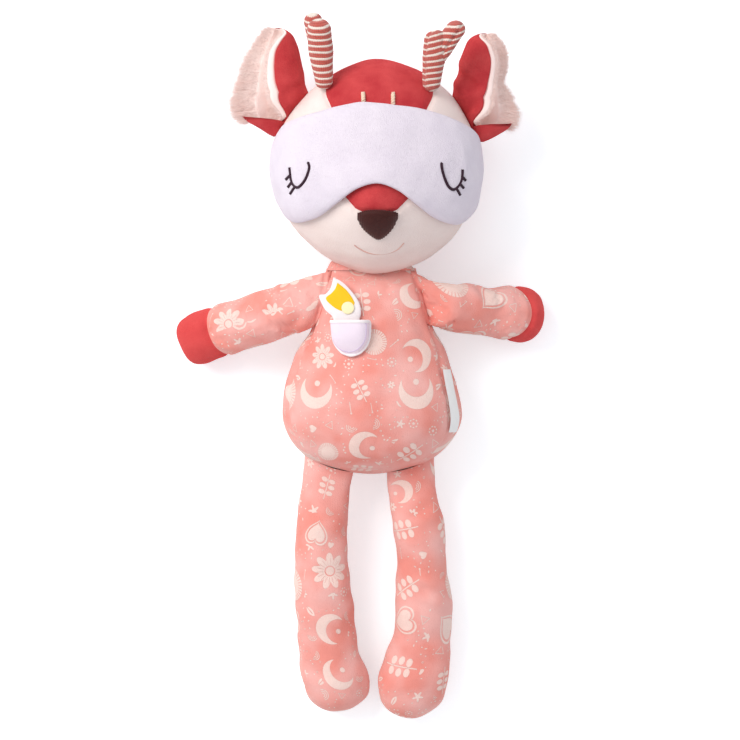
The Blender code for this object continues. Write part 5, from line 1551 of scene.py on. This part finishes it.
def ear_bed(side, share, part):
    """Points of the fluffy bed inside an ear, from under its flap to its back edge."""
    edge = smooth(EAR_FLAP[side], share.reshape(-1))[:, 0].reshape(share.shape)
    near = ear_skin(side, share, edge - 14, 0.0036)
    far = ear_skin(side, share, EAR_BACK + 0 * share, 0.0012)
    away = unit(far - near)
    out = np.stack([side * np.abs(away[..., 2]), 0 * share, np.abs(away[..., 0])], axis=-1)
    span = np.linalg.norm(far - near, axis=-1)
    dip = np.sin(math.pi * np.clip(part * 1.6, 0, 1))
    swell = np.sin(math.pi * np.clip((part - 0.45) / 0.55, 0, 1))
    sag = -0.20 * span * dip + 0.10 * span * swell
    points = near + (far - near) * part[..., None] + out * sag[..., None]
    return points + out * (0.0005 * lumps(points, 0.009, 91))[..., None], out, away


def ear_strands(side, seed):
    """Fibres of the lining, combed out over it and past its back edge."""
    dice = np.random.default_rng(seed)
    tufts = []
    heights, reaches = np.transpose(EAR_REACH[side])
    for count, low, high, shortest, longest, lift, past in EAR_TUFTS:
        share = dice.uniform(0.065, 0.985, count)
        roots, out, away = ear_bed(side, share, dice.uniform(low, high, count))
        spread = np.stack([0 * share, (share - 0.42) * 0.9, 0 * share], axis=-1)
        ways = unit(away + out * lift + np.array((side * 1.0, 0, 0.35)) * past + spread)
        ways = unit(ways + dice.normal(size=(count, 3)) * 0.15)
        lengths = dice.uniform(shortest, longest, count)
        lengths *= np.interp(share, heights, reaches) if past else np.clip((1.03 - share) / 0.18, 0.45, 1)
        droop = np.array((0, -0.10, -0.04))
        tufts.append(strands(placed(HEAD, roots), ways, lengths, 0.00018, droop, seed + count))
    count = 900
    share = dice.uniform(0.10, 0.985, count)
    edge = smooth(EAR_FLAP[side], share)[:, 0] + dice.uniform(13, 20, count)
    roots = ear_skin(side, share, edge, 0.0006)
    ways = unit(np.array((side * 1.0, 0.05, -0.1)) + dice.normal(size=(count, 3)) * 0.25)
    lengths = dice.uniform(0.0009, 0.0019, count)
    tufts.append(strands(placed(HEAD, roots), ways, lengths, 0.00014, np.array((0, 0, -0.1)), seed + 7))
    return tufts


def ear_cup(side):
    """Closed grid of an ear's velour, with its thickness and its folds."""
    share = (crowded(110) * 1.09 - 0.09)[:, None]
    part = np.linspace(0, 1, 90)[None, :]
    start, stop = ear_edges(side, share)
    angle = start + (stop - start) * part
    share = share + 0 * angle
    outer = ear_skin(side, share, angle, 0)
    inner = ear_skin(side, share, angle, EAR_THICK)
    away = unit(outer - ear_axis(side, share))
    outer = outer + away * (0.0004 * lumps(outer, 0.012, 81 + side) * np.clip(part / 0.12, 0, 1))[..., None]
    folds = [
        (*ear_skin(side, np.array(heights), np.array(angles), 0), depth, width)
        for heights, angles, depth, width in EAR_FOLDS[side]
    ]
    return np.concatenate([folded(outer, away, folds), inner[:, ::-1]], axis=1)


def ear_lining(side):
    """Grid of an ear's lining, from over the flap's edge across the bed to over the back edge."""
    share = (0.055 + 0.935 * crowded(96))[:, None]
    tuck = 0.0030 * np.clip((0.105 - share) / 0.05, 0, 1)
    edge = smooth(EAR_FLAP[side], share[:, 0])
    flap = ear_skin(side, share + 0 * FLAP_BAND, edge + FLAP_BAND, FLAP_INSET + tuck)
    back = ear_skin(side, share + 0 * BACK_BAND, BACK_BAND + 0 * share, BACK_INSET + tuck)
    bed = ear_bed(side, share + np.zeros((1, 50)), np.linspace(0, 1, 50)[None, :] + 0 * share)[0]
    return np.concatenate([flap, bed, back], axis=1)


def make_ear(name, side):
    """Cupped velour ear lined with long fluff that shows past its back edge."""
    item = cloth_grid(f"ear_velour_{name}", placed(HEAD, ear_cup(side)), RED, True)
    turn_outward(item)
    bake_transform(item)
    dressed(item, "red_velour", f"ear_outer_{name}", fill=0.3)
    base = cloth_grid(f"ear_lining_{name}", placed(HEAD, ear_lining(side)), FLUFF)
    fluff = fluff_object(f"ear_fluff_{name}", ear_strands(side, 95 + side), FLUFF)
    for piece in (base, fluff):
        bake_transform(piece)
    dressed(base, "fluff", f"ear_lining_{name}", fill=0.2)


def turn_outward(item):
    """Make the faces of a closed mesh look outward."""
    made = bmesh.new()
    made.from_mesh(item.data)
    bmesh.ops.recalc_face_normals(made, faces=made.faces)
    made.to_mesh(item.data)
    made.free()


# Antlers


ANTLER_FOOT_RADIUS = 0.0044
TINE_RADIUS = 0.0047
# Ends of the stem and of the tine, lean outward, spacing of the foot from the middle, radius
ANTLERS = {
    "left": ((0.0030, 0.0308, 0), (0.0155, 0.0322, 0), 6, 0.0260, 0.0062),
    "right": ((0.0018, 0.0268, 0), (0.0142, 0.0312, 0), 0, 0.0243, 0.0057),
}


def antler_frame(side, lean, spacing):
    """Place of an antler's foot, in the head's frame."""
    foot = Vector(over_face(np.array(side * spacing), np.array(0.0385)))
    outward = Vector([value / (size / 2) ** 2 for value, size in zip(foot, HEAD_SIZE)]).normalized()
    turn = Matrix.Rotation(-side * math.radians(lean), 4, "Z") @ Matrix.Rotation(math.radians(14), 4, "X")
    turn = turn @ Matrix.Rotation(math.radians(106) if side < 0 else 0, 4, "Y")
    return Matrix.Translation(foot + outward * (ANTLER_FOOT_RADIUS + GAP)) @ turn


def knit_tube(start, end, foot_radius, radius, seam, down=170, around=72):
    """Rings of a knitted tine with ribs and a gathered seam, and how far its stripes shift at the seam."""
    length = np.linalg.norm(end - start)
    along = (end - start) / length
    run = -np.cos(np.linspace(0, math.pi, down)) * (length + foot_radius) / 2 + (length - foot_radius) / 2
    size = np.interp(run, (0, length * 0.45, length - radius), (foot_radius, radius, radius))
    tip = np.where(run > length - radius, (run - length + radius) / radius, 0)
    cap = np.where(run < 0, run / foot_radius, tip)
    size = (size * np.sqrt(np.clip(1 - cap**2, 0, 1)))[:, None]
    angle = turns(around)[None, :]
    away = np.abs((angle - seam + math.pi) % math.tau - math.pi) * size
    gathers = 1 + 0.5 * np.sin(run * math.tau / KNIT_STRIPE)[:, None]
    size = size - 0.0010 * gathers * np.exp(-((away / 0.0011) ** 2)) * np.clip(size / radius, 0, 1)
    shift = 0.0011 * np.exp(-away / 0.0020)
    ribs = np.abs(np.sin((run[:, None] + shift) * math.pi / KNIT_RIB))
    size = size + 0.00020 * ribs * (np.abs(cap) < 0.95)[:, None]
    up = np.array((0, 0, 1.0))
    off = np.cross(along, up) * np.cos(angle)[..., None] + up * np.sin(angle)[..., None]
    return start + along * run[:, None, None] + off * size[..., None], shift


def make_antler(name, side):
    """Knitted two-tined antler."""
    stem, tine, lean, spacing, stem_radius = ANTLERS[name]
    stem, tine = np.array(stem), np.array(tine)
    matrix = HEAD @ antler_frame(side, lean, spacing)
    items = []
    seams = (2.6, 1.3) if side > 0 else (0.15, 0.15)
    for start, end, foot_radius, radius, seam in (
        (np.zeros(3), stem, ANTLER_FOOT_RADIUS, stem_radius, seams[0]),
        (stem * 0.42, tine, TINE_RADIUS, TINE_RADIUS, seams[1]),
    ):
        points, shift = knit_tube(start, end, foot_radius, radius, seam)
        points = points + grid_normals(points, True) * (0.0002 * lumps(points, 0.006, 7))[..., None]
        stripe = points[..., 1] * 0.98 - points[..., 0] * 0.16 + shift
        grid = placed(matrix, points)
        items.append(cloth_grid(f"antler_part_{len(items)}", grid, KNIT, True, chart=stripe))
    item = joined(f"antler_knit_{name}", items)
    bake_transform(item)
    dressed(item, "striped_knit", f"antler_cover_{name}", f"antler_stuffing_{name}", fill=0.9)


# Pocket, keepsake and label


POCKET_SIZE = (0.0178, 0.0170)
POCKET_PLACE = (-0.0096, 0.0298)
POCKET_PUFF = 0.0066
POCKET_LIFT = 0.0018
# Place down the height, half width, puff
POCKET_ROWS = np.array((
    (0.0, 1.0, 1.0), (0.25, 0.995, 0.96), (0.50, 0.955, 0.84), (0.70, 0.82, 0.62), (0.836, 0.63, 0.40),
    (0.93, 0.43, 0.20), (1.0, 0.0, 0.0),
))


def over_torso(x, y, lift):
    """Points over the body's front at places x, y."""
    half_width, half_depth, middle = torso_section(y)
    across = x / half_width
    height = (half_depth + lift) * np.sqrt(np.clip(1 - across**2, 0, 1))
    return np.stack([(half_width + lift) * across, y, middle + height], axis=-1)


def pocket_height(side, puff):
    """Height of the pocket's puffed panel at shares of its half width."""
    return POCKET_PUFF * puff * np.sqrt(np.clip(1 - side**4, 0, 1))


def pocket_grid(lift, down, across, high=1.0):
    """Points of the pocket's puffed panel, down to a share of its length."""
    share = np.linspace(0, high, down)[:, None]
    side = np.linspace(-1, 1, across)[None, :]
    width, puff = np.moveaxis(rounded(POCKET_ROWS, share[:, 0], (1,)), -1, 0)
    x = side * width[:, None] * POCKET_SIZE[0] / 2 + POCKET_PLACE[0]
    y = POCKET_PLACE[1] - share * POCKET_SIZE[1] + 0 * side
    return over_torso(x, y, lift + pocket_height(side, puff[:, None]))


def make_pocket():
    """Patch pocket with a pale edge all round and a line of stitching inside it."""
    outer = pocket_grid(POCKET_LIFT, 80, 80, 0.995)
    inner = pocket_grid(0.0006, 80, 80, 0.995)
    grid = np.concatenate([outer, inner[:, ::-1]], axis=1)
    item = cloth_grid("pocket_plush_panel", grid, POCKET, True)
    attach(item, "torso")
    dressed(item, "pocket_plush", "pocket_panel", fill=0.2)
    sides = pocket_grid(0.0020, 60, 2)
    top = pocket_grid(0.0020, 2, 50)[0]
    edge = resampled(np.concatenate([top, sides[1:, 1], sides[::-1, 0][1:]])[::4], 300)
    rim = tube(edge, 0.00090, 12, 0.5)
    border = cloth_grid("pocket_edge", rim, CANVAS, True)
    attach(border, "torso")
    dressed(border, "white_trim", "pocket_binding")
    middle = edge.mean(axis=0)
    middle[1] += 0.001
    line = middle + (edge - middle) * (0.87, 0.87, 1)
    x, y = line[:, 0], line[:, 1]
    share = np.clip((POCKET_PLACE[1] - y) / POCKET_SIZE[1], 0, 1)
    width, puff = rounded(POCKET_ROWS, share, (1,)).T
    across = np.clip((x - POCKET_PLACE[0]) / (np.maximum(width, 0.001) * POCKET_SIZE[0] / 2), -1, 1)
    line = over_torso(x, y, POCKET_LIFT + pocket_height(across, puff))
    stitches = cloth_grid("pocket_stitching", tube(line, 0.00022, 8), POCKET_THREAD, True)
    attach(stitches, "torso")


def keepsake_frame():
    """Place of the keepsake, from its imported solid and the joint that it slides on."""
    joint = next(joint for joint in frame["joints"] if joint["name"] == "keepsake_slide")
    along = Vector(joint["axis"]).normalized()
    across = along.cross(Vector((0, 0, 1))).normalized()
    out = across.cross(along)
    low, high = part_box("keepsake_backing")
    return along, across, out, (low + high) / 2


# Pixels round the keepsake and round its yellow field, and the middle of its spot
KEEPSAKE_EDGE = (
    (333.4, 277), (343, 282.5), (353, 293), (359.3, 303), (361, 312), (359.5, 320), (357, 330), (352, 339),
    (345, 342), (338, 338), (334.5, 328), (332.5, 317), (325, 309.5), (319, 296), (325.5, 293.8),
    (330.5, 288), (333.4, 277),
)
KEEPSAKE_FIELD = (
    (337.6, 283), (347, 291), (354.4, 302.5), (352, 308), (347.5, 310.5), (340.6, 311), (332.5, 306.5),
    (326, 299), (331.5, 293.5), (335.2, 289), (337.6, 283),
)
KEEPSAKE_SPOT = (348, 308.5)
SPOT_RADIUS = 0.0032


def puffed(ring, share, low, rise, power):
    """Grid over a ring of places, flat inside and rounded down at its edge."""
    centre = ring.mean(axis=0)
    place = centre + (ring[None] - centre) * share
    height = low + rise * np.clip(1 - share[..., 0] ** power, 0, 1) ** 0.5 * np.ones(place.shape[:2])
    return np.concatenate([place, height[..., None]], axis=-1)


def make_keepsake():
    """Small padded keepsake: white border, yellow field and a pale round spot."""
    along, across, out, middle = keepsake_frame()
    axes = np.array((across, along, out))
    to_plane = np.linalg.inv(axes[:2, :2].T)

    def flat(*pixels):
        """Places in the keepsake's plane that the photograph shows at pixels."""
        return (over_world(middle.z, *pixels) - np.array(middle.xy)) @ to_plane.T

    ring = resampled(flat(*KEEPSAKE_EDGE), 201)[:-1]
    front = puffed(ring, domed(34)[:, None, None], 0, 0.0013, 5)
    back = (front * (1, 1, -1))[::-1]
    body = np.concatenate([front, back[1:]]) @ axes + np.array(middle)
    item = cloth_grid("keepsake_pillow", body, CANVAS, True)
    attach(item, "keepsake")
    dressed(item, "white_trim", "keepsake_backing", fill=0.5)
    share = np.linspace(0, 1, 18)[:, None, None]
    ring = resampled(flat(*KEEPSAKE_FIELD), 141)[:-1]
    top = puffed(ring, share, 0.0013, 0.0004, 6) @ axes + np.array(middle)
    item = cloth_grid("keepsake_field", top, YELLOW, True, middle)
    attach(item, "keepsake")
    dressed(item, "keepsake_yellow", "keepsake_top")
    angle = turns(60)
    ring = flat(KEEPSAKE_SPOT)[0] + np.stack([np.cos(angle), np.sin(angle)], axis=-1) * SPOT_RADIUS
    top = puffed(ring, share, 0.0019, 0.0002, 6) @ axes + np.array(middle)
    item = cloth_grid("keepsake_spot", top, SPOT, True, middle)
    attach(item, "keepsake")


LABEL_TOP = 0.0055
LABEL_BOTTOM = -0.0270
# Places along the body and the label's width there
LABEL_WIDTHS = ((LABEL_BOTTOM, -0.018, LABEL_TOP), (0.0074, 0.0074, 0.0068))
# Length of the body's side for each radian round it, beside the label
SIDE_RADIUS = 0.0347


def make_label():
    """Bare woven label that hangs from the side seam."""
    y = np.linspace(LABEL_TOP, LABEL_BOTTOM, 60)
    part = np.linspace(0, 1, 24)
    half_width, half_depth, middle = (value[:, None] for value in torso_section(y))
    width = np.interp(y, *LABEL_WIDTHS)[:, None]
    angle = BODY_SEAM + seam_turn(y[:, None]) - part[None, :] * width / SIDE_RADIUS
    wave = 0.0004 + (0.0005 + 0.0003 * np.sin(y[:, None] * 230 + 0.6)) * part[None, :]
    x = (half_width + wave) * np.cos(angle)
    grid = np.stack([x, y[:, None] + 0 * x, middle + (half_depth + wave) * np.sin(angle)], axis=-1)
    item = cloth_grid("side_label_cloth", grid, WHITE, inside=(0, -0.0105, 0.03))
    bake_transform(item)
    dressed(item, "white_trim", "side_label")


# Neck


# Half width of the neck at the body, what it loses towards the head, and half depth
NECK_WIDE = 0.0229
NECK_TAPER = 0.0034
NECK_DEEP = 0.0136
# Share of the neck's front that is left under the chin
NECK_FRONT = 0.12
# Half width and half depth of the thread round the neck
THREAD_WIDE = 0.0208
THREAD_DEEP = 0.0148


def make_neck():
    """Cloth of the neck, gathered up to the head, and the thread round it."""
    angle = turns(120)[None, :]
    part = np.linspace(0, 1, 30)[:, None]
    x = (NECK_WIDE - NECK_TAPER * part) * np.cos(angle)
    z = NECK_MIDDLE + NECK_DEEP * np.sin(angle) + 0 * part
    way = np.stack([
        (x - HEAD_MIDDLE.x) / (HEAD_SIZE[0] / 2), 0 * x, (z - HEAD_MIDDLE.z) / (HEAD_SIZE[2] / 2),
    ], axis=-1)
    drop = np.sqrt(np.clip(1 - way[..., 0] ** 2 - way[..., 2] ** 2, 0, 1)) * HEAD_SIZE[1] / 2
    top = HEAD_MIDDLE.y - drop
    low = TORSO_TOP - 0.0012
    fold = 0.0004 * np.sin(angle * 34) * np.sin(math.pi * part)
    y = low + (top + 0.0016 - low) * part
    z = np.where(z > NECK_MIDDLE, NECK_MIDDLE + (z - NECK_MIDDLE) * NECK_FRONT, z)
    grid = np.stack([x + fold * np.cos(angle), y, z + fold * np.sin(angle)], axis=-1)
    item = cloth_grid("neck_cloth", grid, PRINT, True)
    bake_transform(item)
    dressed(item, "printed_cotton", "neck_stuffing", fill=0.6)
    angle = angle[0]
    depth = np.where(np.sin(angle) > 0, -0.0010, THREAD_DEEP)
    ring = np.stack([
        THREAD_WIDE * np.cos(angle), low + 0.0004 + 0 * angle, NECK_MIDDLE + depth * np.sin(angle),
    ], axis=-1)
    line = resampled(np.concatenate([ring, ring[:2]]), 300)
    cord = tube(line, 0.0005 * (1 + 0.2 * np.sin(np.arange(300) * 0.9)), 8)
    item = cloth_grid("neck_thread", cord, THREAD, True)
    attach(item, "torso")
    dressed(item, "cream_thread", "neck_stitching")


# Floor, light and camera


FLOOR_GLOW = 0.38
WORLD_STRENGTH = 0.77
LAMP_SIZE = 0.8
LAMP_ENERGY = 15.2
LAMP_PLACE = (-0.88, 0.68, 1.15)


def seen(tree):
    """Output that is one for rays from the camera, a glossy surface or a clear one."""
    path = tree.nodes.new("ShaderNodeLightPath")
    result = path.outputs["Is Camera Ray"]
    for ray in ("Is Glossy Ray", "Is Transmission Ray"):
        either = tree.nodes.new("ShaderNodeMath")
        either.operation = "MAXIMUM"
        tree.links.new(result, either.inputs[0])
        tree.links.new(path.outputs[ray], either.inputs[1])
        result = either.outputs[0]
    return result


def make_stage():
    """Pale floor that the camera sees as white, with the doll's soft shadow on it."""
    bpy.ops.mesh.primitive_plane_add(size=6.0, location=(0, 0, 0))
    floor = bpy.context.active_object
    floor.name = "floor"
    material = bpy.data.materials.new("floor")
    material.use_nodes = True
    nodes = material.node_tree.nodes
    links = material.node_tree.links
    shader = nodes["Principled BSDF"]
    shader.inputs["Base Color"].default_value = (0.89, 0.95, 0.965, 1)
    shader.inputs["Roughness"].default_value = 1.0
    shader.inputs["Specular IOR Level"].default_value = 0.0
    glow = nodes.new("ShaderNodeMath")
    glow.operation = "MULTIPLY"
    glow.inputs[1].default_value = FLOOR_GLOW
    links.new(seen(material.node_tree), glow.inputs[0])
    shader.inputs["Emission Color"].default_value = (1, 1, 1, 1)
    links.new(glow.outputs[0], shader.inputs["Emission Strength"])
    floor.data.materials.append(material)


def make_light():
    """Large soft lamp from the upper left and an even pale world."""
    world = bpy.data.worlds.new("studio")
    bpy.context.scene.world = world
    world.use_nodes = True
    nodes = world.node_tree.nodes
    links = world.node_tree.links
    back = nodes["Background"]
    back.inputs["Color"].default_value = (0.94, 0.95, 1.0, 1)
    back.inputs["Strength"].default_value = WORLD_STRENGTH
    white = nodes.new("ShaderNodeBackground")
    white.inputs["Color"].default_value = (1, 1, 1, 1)
    white.inputs["Strength"].default_value = 1.0
    mixed = nodes.new("ShaderNodeMixShader")
    links.new(seen(world.node_tree), mixed.inputs[0])
    links.new(back.outputs[0], mixed.inputs[1])
    links.new(white.outputs[0], mixed.inputs[2])
    links.new(mixed.outputs[0], nodes["World Output"].inputs["Surface"])
    lamp = bpy.data.lights.new("softbox", "AREA")
    lamp.shape = "RECTANGLE"
    lamp.size = LAMP_SIZE
    lamp.size_y = LAMP_SIZE
    lamp.energy = LAMP_ENERGY
    lamp.color = (1.0, 0.985, 0.965)
    item = bpy.data.objects.new("softbox", lamp)
    bpy.context.scene.collection.objects.link(item)
    item.location = LAMP_PLACE
    item.rotation_euler = (-Vector(item.location)).to_track_quat("-Z", "Y").to_euler()


def make_camera():
    """Camera straight above the doll, framed as the photograph."""
    camera = bpy.data.cameras.new("camera")
    item = bpy.data.objects.new("camera", camera)
    bpy.context.scene.collection.objects.link(item)
    item.location = (*CAMERA_PLACE, HEAD_MIDDLE.z + CAMERA_ABOVE)
    camera.sensor_width = 36
    camera.lens = camera.sensor_width * CAMERA_ABOVE / (FRAME_PIXELS * PIXEL)
    camera.clip_end = 20
    bpy.context.scene.camera = item


make_head()
make_face()
make_mask()
make_strap()
make_torso()
make_neck()
make_arms()
make_legs()
for ear_name, ear_side in (("left", -1), ("right", 1)):
    make_ear(ear_name, ear_side)
    make_antler(ear_name, ear_side)
make_pocket()
make_keepsake()
make_label()
make_stage()
make_light()
make_camera()
bpy.context.scene.view_settings.view_transform = "Standard"

bpy.context.view_layer.update()
